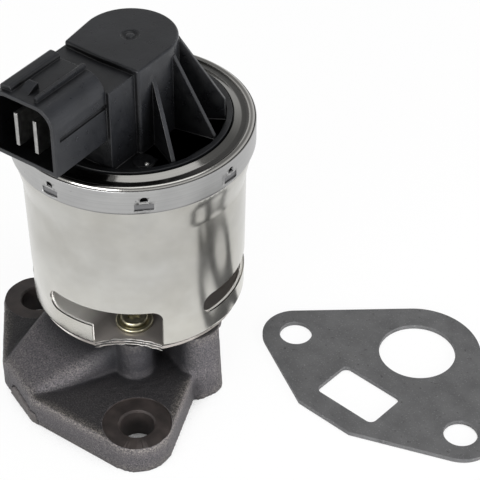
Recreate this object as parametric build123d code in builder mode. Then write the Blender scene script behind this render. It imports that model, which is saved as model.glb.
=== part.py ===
"""Electric exhaust gas recirculation valve: cast flange body, slotted solenoid can and sensor cap.

Frame: the origin is midway between the two mounting bolts, on the flange face, with +Z up the valve
and -Y towards the connector.  All lengths are in millimetres and all angles in degrees.
"""

import os
from math import atan2, cos, degrees, hypot, pi, radians, sin

from build123d import *

os.makedirs("parts", exist_ok=True)

# ---------------------------------------------------------------- driving dimensions
# Flange, in its own frame: u runs along the bolt line, v runs towards the valve axis.
bolt_spacing = 57.0
bolt_hole_d = 9.0
bolt_line_turn = -22.5
lobe_r = 9.3
flange_height = 8.8
spotface_d = 18.0
spotface_depth = 0.5
inlet_port_d = 20.4
inlet_port_u = 1.0
inlet_port_v = 17.0
inlet_port_depth = 7.0
inlet_lobe_r = 17.6
outlet_port_length = 18.6
outlet_port_width = 12.0
outlet_port_depth = 6.0
outlet_port_u = -0.4
outlet_port_v = -6.8
outlet_port_corner_r = 1.8
apron_left_u = -10.2
apron_right_u = 6.2
apron_v = -19.4
apron_corner_r = 2.0

# Casting above the flange.
valve_u = -7.3
valve_v = 21.3
body_height = 20.2
barrel_r = 15.8
duct_nose_v = -18.9
duct_nose_left_u = -10.4
duct_nose_right_u = 6.4
duct_nose_height = 9.8
duct_waist_v = -3.4
duct_waist_left_u = -18.3
duct_waist_right_u = 8.0
duct_waist_height = 14.4
duct_head_v = 11.0
duct_head_left_u = -22.6
duct_head_right_u = 9.4
duct_corner_r = 3.4
throat_width = 11.0
throat_height = 5.2
column_inner_u = -2.0
column_foot_u = 22.6
column_head_u = 20.8
column_foot_v = 19.2
column_head_v = 20.4
column_back_v = 31.2
column_corner_r = 4.4

# Gas passage, seat, pintle and guide.
web_under_seat = 1.6
seat_outer_r = 9.5
seat_bore_r = 7.0
seat_height = 3.6
seat_stand = 0.8
seat_chamfer = 1.2
seat_gap = 0.2
chamber_r = 12.2
chamber_roof = 3.2
roof_hole_r = 9.8
valve_lift = 3.5
head_rim = 0.8
head_nose = 0.8
stem_r = 2.5
stem_neck_r = 2.0
stem_end = 2.2
running_clearance = 0.05
press_clearance = 0.02
guide_collar_r = 6.0
guide_flange_r = 11.9
guide_flange_height = 1.3
guide_collar_height = 9.8
guide_relief_r = 4.0
guide_relief_depth = 1.2
head_clearance = 0.4

# Sheet steel can and the plate under it.
spacer_inset = 1.0
spacer_thickness = 1.0
can_wall = 1.0
can_bottom_r = 28.2
can_shoulder_step = 0.5
can_lip_step = 1.5
can_lip_height = 2.8
can_flare_height = 10.5
can_floor_hole_r = 6.6
can_corner_r = 1.6
slot_count = 4
slot_start = -105.5
slot_sweep = 66.7
slot_rise = 5.8
slot_height = 6.2
window_start = -77.0
window_sweep = 38.2
window_reach = 2.0
notch_r = 21.25
notch_depth = 3.5
cut_margin = 3.0

# Screws that hold the can on the casting.
screw_count = 4
screw_circle_r = 18.0
screw_turn = -56.0
screw_r = 2.5
screw_head_r = 3.5
screw_head_height = 2.7
screw_head_round = 0.8
screw_length = 9.0
screw_hole_depth = 8.4
recess_width = 1.0
recess_length = 3.4
recess_depth = 1.3
washer_r = 4.6
washer_thickness = 0.9
washer_chamfer = 0.2
boss_r = 4.2
long_boss_r = 4.7
long_boss_reach_r = 20.9
boss_low_z = 5.0

# Solenoid.
pedestal_height = 14.8
pedestal_foot_r = 12.4
pedestal_foot_height = 1.5
pedestal_bore_r = 7.0
pedestal_wall = 1.9
pedestal_head_r = 14.0
pedestal_head_height = 2.5
case_height = 29.0
case_clearance = 0.2
case_wall = 1.8
case_floor = 2.6
sleeve_bore_r = 8.05
sleeve_wall = 0.85
sleeve_overlap = 8.0
armature_length = 12.0
armature_rise = 1.0
armature_web = 6.0
core_gap = 5.0
core_plate = 2.8
seal_room = 2.5
core_bore_r = 2.0
core_pocket_depth = 4.0
spring_pocket_r = 5.6
bobbin_wall = 1.3
bobbin_flange = 1.5
bobbin_clearance = 0.1
winding_inset = 1.5
winding_clearance = 0.05
return_spring_mean_r = 4.4
return_spring_wire_r = 0.6
return_spring_turns = 6
clip_r = 3.3
clip_seat_r = 1.6
clip_thickness = 0.8
clip_gap = 2.6

# Crimp ring.
ring_fit = 0.1
ring_wall = 0.9
ring_height = 7.9
ring_top_thickness = 1.0
ring_lip_width = 5.6
ring_band_inset = 3.0
ring_groove_inset = 1.5
ring_groove_depth = 0.5
ring_bead_inset = 0.7
stake_count = 8
stake_turn = -1.6
stake_hole_width = 2.0
stake_hole_height = 1.4
stake_hole_rise = 4.2
stake_hole_depth = 0.75
stake_pad_width = 4.8
stake_pad_height = 1.9
stake_pad_rise = 2.1
stake_pad_depth = 0.4

# Moulded sensor cap.
cap_flange_thickness = 4.3
cap_floor_rise = 0.5
cap_floor_thickness = 2.5
cap_flange_clearance = 0.3
cap_rim_clearance = 0.4
cap_rim_wall = 1.5
cap_rim_height = 0.9
spigot_wall = 3.0
tower_height = 23.9
tower_r = 12.0
tower_shift = 0.2
tower_front = 11.6
tower_left = 10.6
tower_corner_r = 0.8
tower_cavity_r = 9.4
tower_roof = 3.5
neck_half_width = 10.8
neck_front = 21.0
neck_drop = 1.5
neck_edge_r = 0.6
rib_thickness = 1.1
rib_foot_gap = 0.3
rib_head_r = 12.4
rib_head_drop = 2.6
rib_angles = (-26.0, 10.0, 61.0, 90.0, 119.0, 170.0, 206.0)
blunt_rib_angles = (32.0, 148.0)
blunt_rib_drop = 1.2
blunt_rib_height = 5.9
pad_inner_r = 18.8
pad_outer_r = 23.2
pad_start = 35.0
pad_sweep = 11.0
pad_height = 1.4
button_r = 2.7
button_height = 0.4
button_angle = -43.5
button_circle_r = 20.0

# Connector shroud on the cap.
shroud_front = 39.4
shroud_half_width = 9.8
shroud_rise = 8.7
shroud_height = 18.2
shroud_wall = 1.2
shroud_depth = 16.8
shroud_head_r = 5.4
shroud_foot_r = 2.2
side_groove_rise = 0.6
side_groove_height = 1.3
side_groove_depth = 0.55
side_groove_setback = 2.0
rail_height = 1.3
rail_setback = 1.2
rail_inner_x = 3.4
thin_rail_width = 1.0
broad_rail_width = 3.5
latch_x = -0.6
latch_width = 2.8
latch_length = 3.8
latch_height = 1.5
latch_setback = 2.2

# Terminals in the connector.
key_x = 2.85
key_thickness = 1.1
key_height = 9.2
key_drop = 1.2
key_setback = 1.1
key_root = 2.0
pin_x = 5.6
pin_upper_rise = 0.5
pin_lower_drop = 4.5
pin_width = 0.8
pin_height = 2.0
pin_reach = 6.6
pin_fit = 0.03

# Lift sensor inside the tower.
board_back_y = -6.0
board_thickness = 1.0
board_width = 12.0
board_foot_gap = 2.4
board_head_gap = 0.9
retainer_r = 11.0
retainer_thickness = 2.4
plunger_r = 1.5
plunger_gap = 0.3
plunger_root = 2.0
carrier_r = 4.6
carrier_flat = 4.0
carrier_height = 5.0
wiper_width = 3.0
wiper_thickness = 0.3
wiper_drop = 3.2
wiper_gap = 0.05
sensor_spring_length = 10.5
sensor_spring_mean_r = 2.6
sensor_spring_wire_r = 0.3
sensor_spring_turns = 6
plunger_seal_r = 3.4
plunger_seal_height = 1.6

# Seals and gasket.
cap_seal_wire_r = 1.0
gasket_port_margin = 0.3
gasket_thickness = 1.3
gasket_x = 64.3
gasket_y = 44.4
gasket_turn = -6.7

# ---------------------------------------------------------------- frames and heights
turn = radians(bolt_line_turn)
axis_x = valve_u * cos(turn) - valve_v * sin(turn)
axis_y = valve_u * sin(turn) + valve_v * cos(turn)
flange_plane = Plane(origin=(0, 0, 0), x_dir=(cos(turn), sin(turn), 0), z_dir=(0, 0, 1))
valve_plane = Plane(origin=(axis_x, axis_y, 0), x_dir=(1, 0, 0), z_dir=(0, 0, 1))
valve_axis = Axis((axis_x, axis_y, 0), (0, 0, 1))
bolt_places = ((-bolt_spacing / 2, 0), (bolt_spacing / 2, 0))

seat_base_z = inlet_port_depth + web_under_seat
seat_top_z = seat_base_z + seat_height
chamber_floor_z = seat_top_z - seat_stand
chamber_top_z = body_height - chamber_roof
head_bottom_z = seat_top_z - seat_chamfer + seat_gap
head_bottom_r = seat_bore_r - seat_gap
head_r = seat_bore_r + seat_chamfer
head_rim_z = head_bottom_z + head_r - head_bottom_r
head_top_z = head_rim_z + head_rim
guide_seat_z = body_height - guide_flange_height
guide_bottom_z = head_top_z + valve_lift + head_clearance
guide_top_z = body_height + guide_collar_height

can_base_z = body_height + spacer_thickness
can_floor_z = can_base_z + can_wall
slot_low_z = can_floor_z + slot_rise
slot_mid_z = slot_low_z + slot_height / 2
cut_out_r = can_bottom_r + cut_margin
window_wall_r = can_bottom_r - window_reach
window_mid = window_start + window_sweep / 2
notch_reach_r = can_bottom_r - notch_depth + notch_r

case_bottom_z = can_floor_z + pedestal_height
pedestal_r = pedestal_bore_r + pedestal_wall
case_r = can_bottom_r - can_wall - case_clearance
case_top_z = case_bottom_z + case_height
sleeve_r = sleeve_bore_r + sleeve_wall
armature_r = sleeve_bore_r - running_clearance
armature_bottom_z = case_bottom_z + armature_rise
armature_top_z = armature_bottom_z + armature_length
clip_z = armature_bottom_z + armature_web
stem_top_z = clip_z + clip_thickness + stem_end
core_face_z = armature_top_z + core_gap
core_pocket_z = core_face_z + core_pocket_depth
core_top_z = case_top_z + core_plate

spacer_r = can_bottom_r - spacer_inset
can_shoulder_r = can_bottom_r + can_shoulder_step
can_lip_r = can_shoulder_r + can_lip_step
can_top_z = core_top_z + seal_room
can_flare_z = can_top_z - can_lip_height
can_shoulder_z = can_flare_z - can_flare_height
ring_inner_r = can_lip_r + ring_fit
ring_r = ring_inner_r + ring_wall
ring_opening_r = ring_r - ring_lip_width
ring_band_r = ring_r - ring_band_inset
ring_groove_r = ring_r - ring_groove_inset
ring_bead_r = ring_r - ring_bead_inset
ring_ledge_z = can_top_z + cap_flange_thickness
ring_top_z = ring_ledge_z + ring_top_thickness
ring_bottom_z = ring_top_z - ring_height
cap_flange_r = ring_inner_r - cap_flange_clearance
cap_rim_r = ring_opening_r - cap_rim_clearance
rib_foot_r = cap_rim_r - cap_rim_wall - rib_foot_gap
spigot_r = can_lip_r - can_wall - 2 * cap_seal_wire_r
cap_floor_z = ring_ledge_z + cap_floor_rise
cap_underside_z = cap_floor_z - cap_floor_thickness
tower_top_z = cap_floor_z + tower_height
neck_top_z = tower_top_z - neck_drop
cavity_top_z = tower_top_z - tower_roof
shroud_bottom_z = cap_floor_z + shroud_rise
shroud_mid_z = shroud_bottom_z + shroud_height / 2
shroud_top_z = shroud_bottom_z + shroud_height
socket_back = shroud_front - shroud_depth
board_front_y = board_back_y - board_thickness
board_bottom_z = cap_floor_z + board_foot_gap
board_top_z = cavity_top_z - board_head_gap
carrier_top_z = cavity_top_z - sensor_spring_length
carrier_z = carrier_top_z - carrier_height


def radial_plane(angle):
    """Upright plane through the valve axis: x runs outwards at the angle, y runs up."""
    a = radians(angle)
    return Plane(origin=(axis_x, axis_y, 0), x_dir=(cos(a), sin(a), 0), z_dir=(sin(a), -cos(a), 0))


def facing_plane(angle, radius, height):
    """Upright plane square to the radius at that angle, with its normal outwards and y up."""
    a = radians(angle)
    origin = (axis_x + radius * cos(a), axis_y + radius * sin(a), height)
    return Plane(origin=origin, x_dir=(-sin(a), cos(a), 0), z_dir=(cos(a), sin(a), 0))


def duct_plane(v):
    """Upright plane across the flange frame at that v: x runs along u, y runs up."""
    origin = (-v * sin(turn), v * cos(turn), 0)
    return Plane(origin=origin, x_dir=(cos(turn), sin(turn), 0), z_dir=(sin(turn), -cos(turn), 0))


def front_plane(front):
    """Upright plane that faces the connector, that far in front of the valve axis: y runs up."""
    return Plane(origin=(axis_x, axis_y - front, 0), x_dir=(1, 0, 0), z_dir=(0, -1, 0))


def side_plane(x):
    """Upright plane at that x from the valve axis: its x runs to the connector and y runs up."""
    return Plane(origin=(axis_x + x, axis_y, 0), x_dir=(0, -1, 0), z_dir=(-1, 0, 0))


def turned(points):
    """A solid turned about the valve axis from its (radius, height) corners."""
    with BuildPart() as solid:
        with BuildSketch(radial_plane(0)):
            with BuildLine():
                Polyline(*points, close=True)
            make_face()
        revolve(axis=valve_axis)
    return solid


def coil(bottom_z, top_z, mean_r, wire_r, turns):
    """A compression spring on the valve axis between two heights."""
    height = top_z - bottom_z - 2 * wire_r
    with BuildPart() as spring:
        with BuildLine(valve_plane.offset(bottom_z + wire_r)) as path:
            Helix(pitch=height / turns, height=height, radius=mean_r)
        with BuildSketch(Plane(path.line @ 0, z_dir=path.line % 0)):
            Circle(wire_r)
        sweep(is_frenet=True)
    return spring


def flange_outline():
    """The flange's hull in the open sketch: bolt lobes, inlet lobe and the two apron corners."""
    with Locations(*bolt_places):
        Circle(lobe_r)
    with Locations((inlet_port_u, inlet_port_v)):
        Circle(inlet_lobe_r)
    apron_row_v = apron_v + apron_corner_r
    with Locations((apron_left_u, apron_row_v), (apron_right_u, apron_row_v)):
        Circle(apron_corner_r)
    make_hull()


# ---------------------------------------------------------------- cast body
screw_places = PolarLocations(screw_circle_r, screw_count, screw_turn)
duct_sections = (
    (duct_nose_v, duct_nose_left_u, duct_nose_right_u, duct_nose_height),
    (duct_waist_v, duct_waist_left_u, duct_waist_right_u, duct_waist_height),
    (duct_head_v, duct_head_left_u, duct_head_right_u, body_height),
)
throat_slope = atan2(valve_u - outlet_port_u, valve_v - outlet_port_v) - turn
throat_plane = Plane(
    origin=flange_plane.from_local_coords((outlet_port_u, outlet_port_v, 0)),
    x_dir=(sin(throat_slope), cos(throat_slope), 0),
    z_dir=(cos(throat_slope), -sin(throat_slope), 0),
)
throat_start = outlet_port_width / 2 - 1
throat_end = hypot(valve_u - outlet_port_u, valve_v - outlet_port_v) - chamber_r + 2

with BuildPart() as valve_body:
    for v, left_u, right_u, top_z in duct_sections:
        with BuildSketch(duct_plane(v)):
            with Locations(((left_u + right_u) / 2, top_z / 2)):
                RectangleRounded(right_u - left_u, top_z, duct_corner_r)
    loft()
    with BuildSketch(flange_plane):
        flange_outline()
    extrude(amount=flange_height)
    with BuildSketch(flange_plane):
        with Locations(((column_inner_u + column_foot_u) / 2, (column_foot_v + column_back_v) / 2)):
            RectangleRounded(
                column_foot_u - column_inner_u, column_back_v - column_foot_v, column_corner_r
            )
    with BuildSketch(flange_plane.offset(body_height)):
        with Locations(((column_inner_u + column_head_u) / 2, (column_head_v + column_back_v) / 2)):
            RectangleRounded(
                column_head_u - column_inner_u, column_back_v - column_head_v, column_corner_r
            )
    loft()
    with BuildSketch(valve_plane):
        Circle(barrel_r)
    extrude(amount=body_height)
    with BuildSketch(valve_plane.offset(boss_low_z)):
        with PolarLocations(screw_circle_r / 2, screw_count, screw_turn):
            SlotCenterToCenter(screw_circle_r, 2 * boss_r)
        with PolarLocations(long_boss_reach_r / 2, 1, screw_turn):
            SlotCenterToCenter(long_boss_reach_r, 2 * long_boss_r)
    extrude(amount=body_height - boss_low_z)

    # Machined: bolt holes with spotfaces, guide seat, roof hole, screw holes.
    with BuildSketch(flange_plane):
        with Locations(*bolt_places):
            Circle(bolt_hole_d / 2)
    extrude(amount=flange_height, mode=Mode.SUBTRACT)
    with BuildSketch(flange_plane.offset(flange_height - spotface_depth)):
        with Locations(bolt_places[1]):
            Circle(spotface_d / 2)
    extrude(amount=body_height, mode=Mode.SUBTRACT)
    with BuildSketch(flange_plane.offset(flange_height - spotface_depth)):
        with Locations(bolt_places[0]):
            Circle(lobe_r - 0.4)
    extrude(amount=body_height - flange_height + spotface_depth, mode=Mode.SUBTRACT)
    with BuildSketch(valve_plane.offset(guide_seat_z)):
        Circle(guide_flange_r + running_clearance)
    extrude(amount=guide_flange_height, mode=Mode.SUBTRACT)
    with BuildSketch(valve_plane.offset(chamber_top_z)):
        Circle(roof_hole_r)
    extrude(amount=chamber_roof, mode=Mode.SUBTRACT)
    with BuildSketch(valve_plane.offset(body_height - screw_hole_depth)):
        with screw_places:
            Circle(screw_r)
    extrude(amount=screw_hole_depth, mode=Mode.SUBTRACT)

    # Gas passage: inlet port, seat bore, chamber, throat and outlet port.
    with BuildSketch(flange_plane):
        with Locations((inlet_port_u, inlet_port_v)):
            Circle(inlet_port_d / 2)
    extrude(amount=inlet_port_depth, mode=Mode.SUBTRACT)
    with BuildSketch(valve_plane.offset(inlet_port_depth / 2)):
        Circle(seat_bore_r)
    extrude(amount=seat_top_z - inlet_port_depth / 2, mode=Mode.SUBTRACT)
    with BuildSketch(valve_plane.offset(seat_base_z)):
        Circle(seat_outer_r)
    extrude(amount=seat_height, mode=Mode.SUBTRACT)
    with BuildSketch(valve_plane.offset(chamber_floor_z)):
        Circle(chamber_r)
    extrude(amount=chamber_top_z - chamber_floor_z, mode=Mode.SUBTRACT)
    with BuildSketch(flange_plane):
        with Locations((outlet_port_u, outlet_port_v)):
            RectangleRounded(outlet_port_length, outlet_port_width, outlet_port_corner_r)
    extrude(amount=outlet_port_depth, mode=Mode.SUBTRACT)
    with BuildSketch(throat_plane):
        with BuildLine():
            Polyline(
                (-throat_start, outlet_port_depth - 2),
                (-throat_start, outlet_port_depth + 1),
                (throat_end, chamber_top_z - 0.3),
                (throat_end, chamber_top_z - throat_height),
                (throat_start, outlet_port_depth - 2),
                close=True,
            )
        make_face()
    extrude(amount=throat_width / 2, both=True, mode=Mode.SUBTRACT)

valve_body.part.label = "valve_body"
export_step(valve_body.part, "parts/valve_body.step")

# ---------------------------------------------------------------- seat, guide and pintle
valve_seat = turned(
    (
        (seat_bore_r, seat_base_z),
        (seat_outer_r, seat_base_z),
        (seat_outer_r, seat_top_z),
        (head_r, seat_top_z),
        (seat_bore_r, seat_top_z - seat_chamfer),
    )
)
valve_seat.part.label = "valve_seat"
export_step(valve_seat.part, "parts/valve_seat.step")

guide_bore_r = stem_r + running_clearance
stem_guide = turned(
    (
        (guide_relief_r, guide_bottom_z),
        (roof_hole_r - running_clearance, guide_bottom_z),
        (roof_hole_r - running_clearance, guide_seat_z),
        (guide_flange_r, guide_seat_z),
        (guide_flange_r, body_height),
        (guide_collar_r, body_height),
        (guide_collar_r, guide_top_z - 1),
        (guide_collar_r - 1, guide_top_z),
        (guide_bore_r, guide_top_z),
        (guide_bore_r, guide_bottom_z + guide_relief_depth),
        (guide_relief_r, guide_bottom_z + guide_relief_depth),
    )
)
stem_guide.part.label = "stem_guide"
export_step(stem_guide.part, "parts/stem_guide.step")

pintle = turned(
    (
        (0, head_bottom_z - head_nose),
        (head_bottom_r - 2 * head_nose, head_bottom_z - head_nose),
        (head_bottom_r, head_bottom_z),
        (head_r, head_rim_z),
        (head_r, head_top_z),
        (stem_r + 0.8, head_top_z),
        (stem_r, head_top_z + 0.8),
        (stem_r, armature_bottom_z),
        (stem_neck_r, armature_bottom_z),
        (stem_neck_r, clip_z),
        (clip_seat_r, clip_z),
        (clip_seat_r, clip_z + clip_thickness),
        (stem_neck_r, clip_z + clip_thickness),
        (stem_neck_r, stem_top_z),
        (0, stem_top_z),
    )
)
pintle.part.label = "pintle"
export_step(pintle.part, "parts/pintle.step")

armature = turned(
    (
        (stem_neck_r + press_clearance, armature_bottom_z),
        (armature_r - 0.8, armature_bottom_z),
        (armature_r, armature_bottom_z + 0.8),
        (armature_r, armature_top_z),
        (spring_pocket_r, armature_top_z),
        (spring_pocket_r, clip_z),
        (stem_neck_r + press_clearance, clip_z),
    )
)
armature.part.label = "armature"
export_step(armature.part, "parts/armature.step")

with BuildPart() as retainer_clip:
    with BuildSketch(valve_plane.offset(clip_z)):
        Circle(clip_r)
        Circle(clip_seat_r + press_clearance, mode=Mode.SUBTRACT)
        with Locations((0, -clip_r)):
            Rectangle(clip_gap, 2 * clip_r, mode=Mode.SUBTRACT)
    extrude(amount=clip_thickness)
retainer_clip.part.label = "retainer_clip"
export_step(retainer_clip.part, "parts/retainer_clip.step")

return_spring = coil(
    clip_z, core_pocket_z, return_spring_mean_r, return_spring_wire_r, return_spring_turns
)
return_spring.part.label = "return_spring"
export_step(return_spring.part, "parts/return_spring.step")

# ---------------------------------------------------------------- spacer plate and can
def cup_profile(inset):
    """The can's side view in the open line, moved inwards by the inset."""
    floor_z = can_base_z + inset
    corner_r = can_corner_r - inset
    side_r = can_bottom_r - inset
    shoulder_r = can_shoulder_r - inset
    lip_r = can_lip_r - inset
    side = Line((side_r, floor_z + corner_r), (shoulder_r, can_shoulder_z))
    Polyline((0, can_top_z), (0, floor_z), (side_r - corner_r, floor_z))
    ThreePointArc(
        (side_r - corner_r, floor_z),
        (side_r - corner_r * (1 - sin(pi / 4)), floor_z + corner_r * (1 - cos(pi / 4))),
        (side_r, floor_z + corner_r),
    )
    Spline((shoulder_r, can_shoulder_z), (lip_r, can_flare_z), tangents=(side % 1, (0, 1)))
    Polyline((lip_r, can_flare_z), (lip_r, can_top_z), (0, can_top_z))


with BuildPart() as spacer_plate:
    with BuildSketch(valve_plane.offset(body_height)):
        Circle(spacer_r)
        Circle(can_floor_hole_r, mode=Mode.SUBTRACT)
        with screw_places:
            Circle(screw_r + running_clearance, mode=Mode.SUBTRACT)
        with PolarLocations(notch_reach_r, 2, window_mid):
            Circle(notch_r, mode=Mode.SUBTRACT)
    extrude(amount=spacer_thickness)
spacer_plate.part.label = "spacer_plate"
export_step(spacer_plate.part, "parts/spacer_plate.step")

end_turn = degrees(slot_height / 2 / can_bottom_r)
with BuildPart() as outer_can:
    with BuildSketch(radial_plane(0)):
        with BuildLine():
            cup_profile(0)
        make_face()
    revolve(axis=valve_axis)
    with BuildSketch(radial_plane(0)):
        with BuildLine():
            cup_profile(can_wall)
        make_face()
    revolve(axis=valve_axis, mode=Mode.SUBTRACT)
    with BuildSketch(valve_plane.offset(can_base_z)):
        Circle(can_floor_hole_r)
        with screw_places:
            Circle(screw_r + running_clearance)
    extrude(amount=can_wall, mode=Mode.SUBTRACT)
    for slot in range(slot_count):
        start = slot_start + slot * 360 / slot_count
        with BuildSketch(radial_plane(start + end_turn)):
            with Locations((can_bottom_r, slot_mid_z)):
                Rectangle(2 * (cut_out_r - can_bottom_r), slot_height)
        revolve(axis=valve_axis, revolution_arc=slot_sweep - 2 * end_turn, mode=Mode.SUBTRACT)
        for angle in (start + end_turn, start + slot_sweep - end_turn):
            with BuildSketch(facing_plane(angle, can_bottom_r - cut_margin, slot_mid_z)):
                Circle(slot_height / 2)
            extrude(amount=2 * cut_margin, mode=Mode.SUBTRACT)
    for start in (window_start, window_start + 180):
        with BuildSketch(radial_plane(start)):
            with Locations(((window_wall_r + cut_out_r) / 2, (can_floor_z + slot_mid_z) / 2)):
                Rectangle(cut_out_r - window_wall_r, slot_mid_z - can_floor_z)
        revolve(axis=valve_axis, revolution_arc=window_sweep, mode=Mode.SUBTRACT)
    with BuildSketch(valve_plane.offset(can_base_z)):
        with PolarLocations(notch_reach_r, 2, window_mid):
            Circle(notch_r)
    extrude(amount=can_wall, mode=Mode.SUBTRACT)
outer_can.part.label = "outer_can"
export_step(outer_can.part, "parts/outer_can.step")

# ---------------------------------------------------------------- screws and washers
with BuildPart() as screw_washers:
    with BuildSketch(valve_plane.offset(can_floor_z)):
        with screw_places:
            Circle(washer_r)
            Circle(screw_r + running_clearance, mode=Mode.SUBTRACT)
    extrude(amount=washer_thickness)
    washer_tops = screw_washers.faces().group_by(Axis.Z)[-1]
    chamfer(washer_tops.edges().group_by(SortBy.RADIUS)[-1], washer_chamfer)
screw_washers.part.label = "screw_washers"
export_step(screw_washers.part, "parts/screw_washers.step")

head_base_z = can_floor_z + washer_thickness
with BuildPart() as can_screws:
    with BuildSketch(valve_plane.offset(can_floor_z + washer_thickness - screw_length)):
        with screw_places:
            Circle(screw_r - press_clearance)
    extrude(amount=screw_length)
    with BuildSketch(valve_plane.offset(head_base_z)):
        with screw_places:
            Circle(screw_head_r)
    extrude(amount=screw_head_height)
    fillet(can_screws.faces().group_by(Axis.Z)[-1].edges(), screw_head_round)
    with BuildSketch(valve_plane.offset(head_base_z + screw_head_height - recess_depth)):
        with screw_places:
            Rectangle(recess_length, recess_width)
            Rectangle(recess_width, recess_length)
    extrude(amount=recess_depth, mode=Mode.SUBTRACT)
can_screws.part.label = "can_screws"
export_step(can_screws.part, "parts/can_screws.step")

# ---------------------------------------------------------------- solenoid
pedestal_head_z = case_bottom_z - pedestal_head_height
pedestal = turned(
    (
        (pedestal_bore_r, can_floor_z),
        (pedestal_foot_r, can_floor_z),
        (pedestal_foot_r, can_floor_z + pedestal_foot_height),
        (pedestal_r, can_floor_z + pedestal_foot_height + 0.6),
        (pedestal_r, pedestal_head_z - 1.2),
        (pedestal_r + 1.2, pedestal_head_z),
        (pedestal_head_r, pedestal_head_z),
        (pedestal_head_r, case_bottom_z),
        (pedestal_bore_r, case_bottom_z),
    )
)
pedestal.part.label = "pedestal"
export_step(pedestal.part, "parts/pedestal.step")

magnet_case = turned(
    (
        (sleeve_r, case_bottom_z),
        (case_r - 1.5, case_bottom_z),
        (case_r, case_bottom_z + 1.5),
        (case_r, case_top_z),
        (case_r - case_wall, case_top_z),
        (case_r - case_wall, case_bottom_z + case_floor),
        (sleeve_r, case_bottom_z + case_floor),
    )
)
magnet_case.part.label = "magnet_case"
export_step(magnet_case.part, "parts/magnet_case.step")

armature_sleeve = turned(
    (
        (sleeve_bore_r, case_bottom_z),
        (sleeve_r, case_bottom_z),
        (sleeve_r, core_face_z + sleeve_overlap),
        (sleeve_bore_r, core_face_z + sleeve_overlap),
    )
)
armature_sleeve.part.label = "armature_sleeve"
export_step(armature_sleeve.part, "parts/armature_sleeve.step")

fixed_core = turned(
    (
        (spring_pocket_r, core_face_z),
        (armature_r, core_face_z),
        (armature_r, case_top_z),
        (case_r, case_top_z),
        (case_r, core_top_z),
        (plunger_seal_r, core_top_z),
        (plunger_seal_r, core_top_z - plunger_seal_height),
        (core_bore_r, core_top_z - plunger_seal_height),
        (core_bore_r, core_pocket_z),
        (spring_pocket_r, core_pocket_z),
    )
)
fixed_core.part.label = "fixed_core"
export_step(fixed_core.part, "parts/fixed_core.step")

bobbin_bore_r = sleeve_r + bobbin_clearance
bobbin_r = case_r - case_wall - bobbin_clearance
bobbin_low_z = case_bottom_z + case_floor
bobbin_tube_r = bobbin_bore_r + bobbin_wall
winding_r = bobbin_r - winding_inset
bobbin = turned(
    (
        (bobbin_bore_r, bobbin_low_z),
        (bobbin_r, bobbin_low_z),
        (bobbin_r, bobbin_low_z + bobbin_flange),
        (bobbin_tube_r, bobbin_low_z + bobbin_flange),
        (bobbin_tube_r, case_top_z - bobbin_flange),
        (bobbin_r, case_top_z - bobbin_flange),
        (bobbin_r, case_top_z),
        (bobbin_bore_r, case_top_z),
    )
)
bobbin.part.label = "bobbin"
export_step(bobbin.part, "parts/bobbin.step")

winding_low_z = bobbin_low_z + bobbin_flange + winding_clearance
winding_high_z = case_top_z - bobbin_flange - winding_clearance
coil_winding = turned(
    (
        (bobbin_tube_r + winding_clearance, winding_low_z),
        (winding_r, winding_low_z),
        (winding_r, winding_high_z),
        (bobbin_tube_r + winding_clearance, winding_high_z),
    )
)
coil_winding.part.label = "coil_winding"
export_step(coil_winding.part, "parts/coil_winding.step")

# ---------------------------------------------------------------- crimp ring
with BuildPart() as crimp_ring:
    with BuildSketch(radial_plane(0)):
        with BuildLine():
            ring_groove_z = ring_top_z - ring_groove_depth
            crease = (ring_bead_r, ring_ledge_z + 0.1)
            skirt_top = (ring_r, ring_ledge_z - 1.9)
            Polyline(
                (ring_inner_r, ring_bottom_z),
                (ring_inner_r, ring_ledge_z),
                (ring_opening_r, ring_ledge_z),
                (ring_opening_r, ring_top_z),
                (ring_band_r, ring_top_z),
                (ring_band_r + ring_groove_depth / 2, ring_groove_z),
                (ring_groove_r, ring_groove_z),
            )
            ThreePointArc(
                (ring_groove_r, ring_groove_z),
                ((ring_groove_r + ring_bead_r) / 2, ring_top_z - 0.25),
                crease,
            )
            ThreePointArc(crease, (ring_r - 0.2, ring_ledge_z - 0.7), skirt_top)
            Polyline(
                skirt_top,
                (ring_r, ring_bottom_z + 0.8),
                (ring_r - 0.3, ring_bottom_z),
                (ring_inner_r, ring_bottom_z),
            )
        make_face()
    revolve(axis=valve_axis)
    for stake in range(stake_count):
        angle = stake_turn + stake * 360 / stake_count
        hole_z = ring_bottom_z + stake_hole_rise
        with BuildSketch(facing_plane(angle, ring_r - stake_hole_depth, hole_z)):
            Circle(stake_hole_width / 2)
            with Locations((0, stake_hole_width - stake_hole_height)):
                Rectangle(stake_hole_width, stake_hole_width, mode=Mode.INTERSECT)
        extrude(amount=1.5, mode=Mode.SUBTRACT)
        with BuildSketch(facing_plane(angle, ring_r - stake_pad_depth, ring_bottom_z + stake_pad_rise)):
            Rectangle(stake_pad_width, stake_pad_height)
        extrude(amount=1.5, mode=Mode.SUBTRACT)
crimp_ring.part.label = "crimp_ring"
export_step(crimp_ring.part, "parts/crimp_ring.step")

# ---------------------------------------------------------------- sensor cap
pin_lower_z = shroud_mid_z - pin_lower_drop
pin_upper_z = shroud_mid_z + pin_upper_rise
pin_places = (
    (-pin_x, pin_lower_z),
    (0, pin_lower_z),
    (pin_x, pin_lower_z),
    (-pin_x, pin_upper_z),
    (pin_x, pin_upper_z),
)
key_places = ((-key_x, shroud_mid_z - key_drop), (key_x, shroud_mid_z - key_drop))
rail_length = shroud_front - rail_setback - neck_front
latch_back = shroud_front - latch_setback - latch_length


def shroud_outline(inset):
    """The connector's mouth in the open sketch, smaller by the inset all round."""
    mouth = Rectangle(2 * (shroud_half_width - inset), shroud_height - 2 * inset)
    fillet(mouth.vertices().group_by(Axis.Y)[-1], shroud_head_r - inset)
    fillet(mouth.vertices().group_by(Axis.Y)[0], shroud_foot_r - inset)


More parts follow.
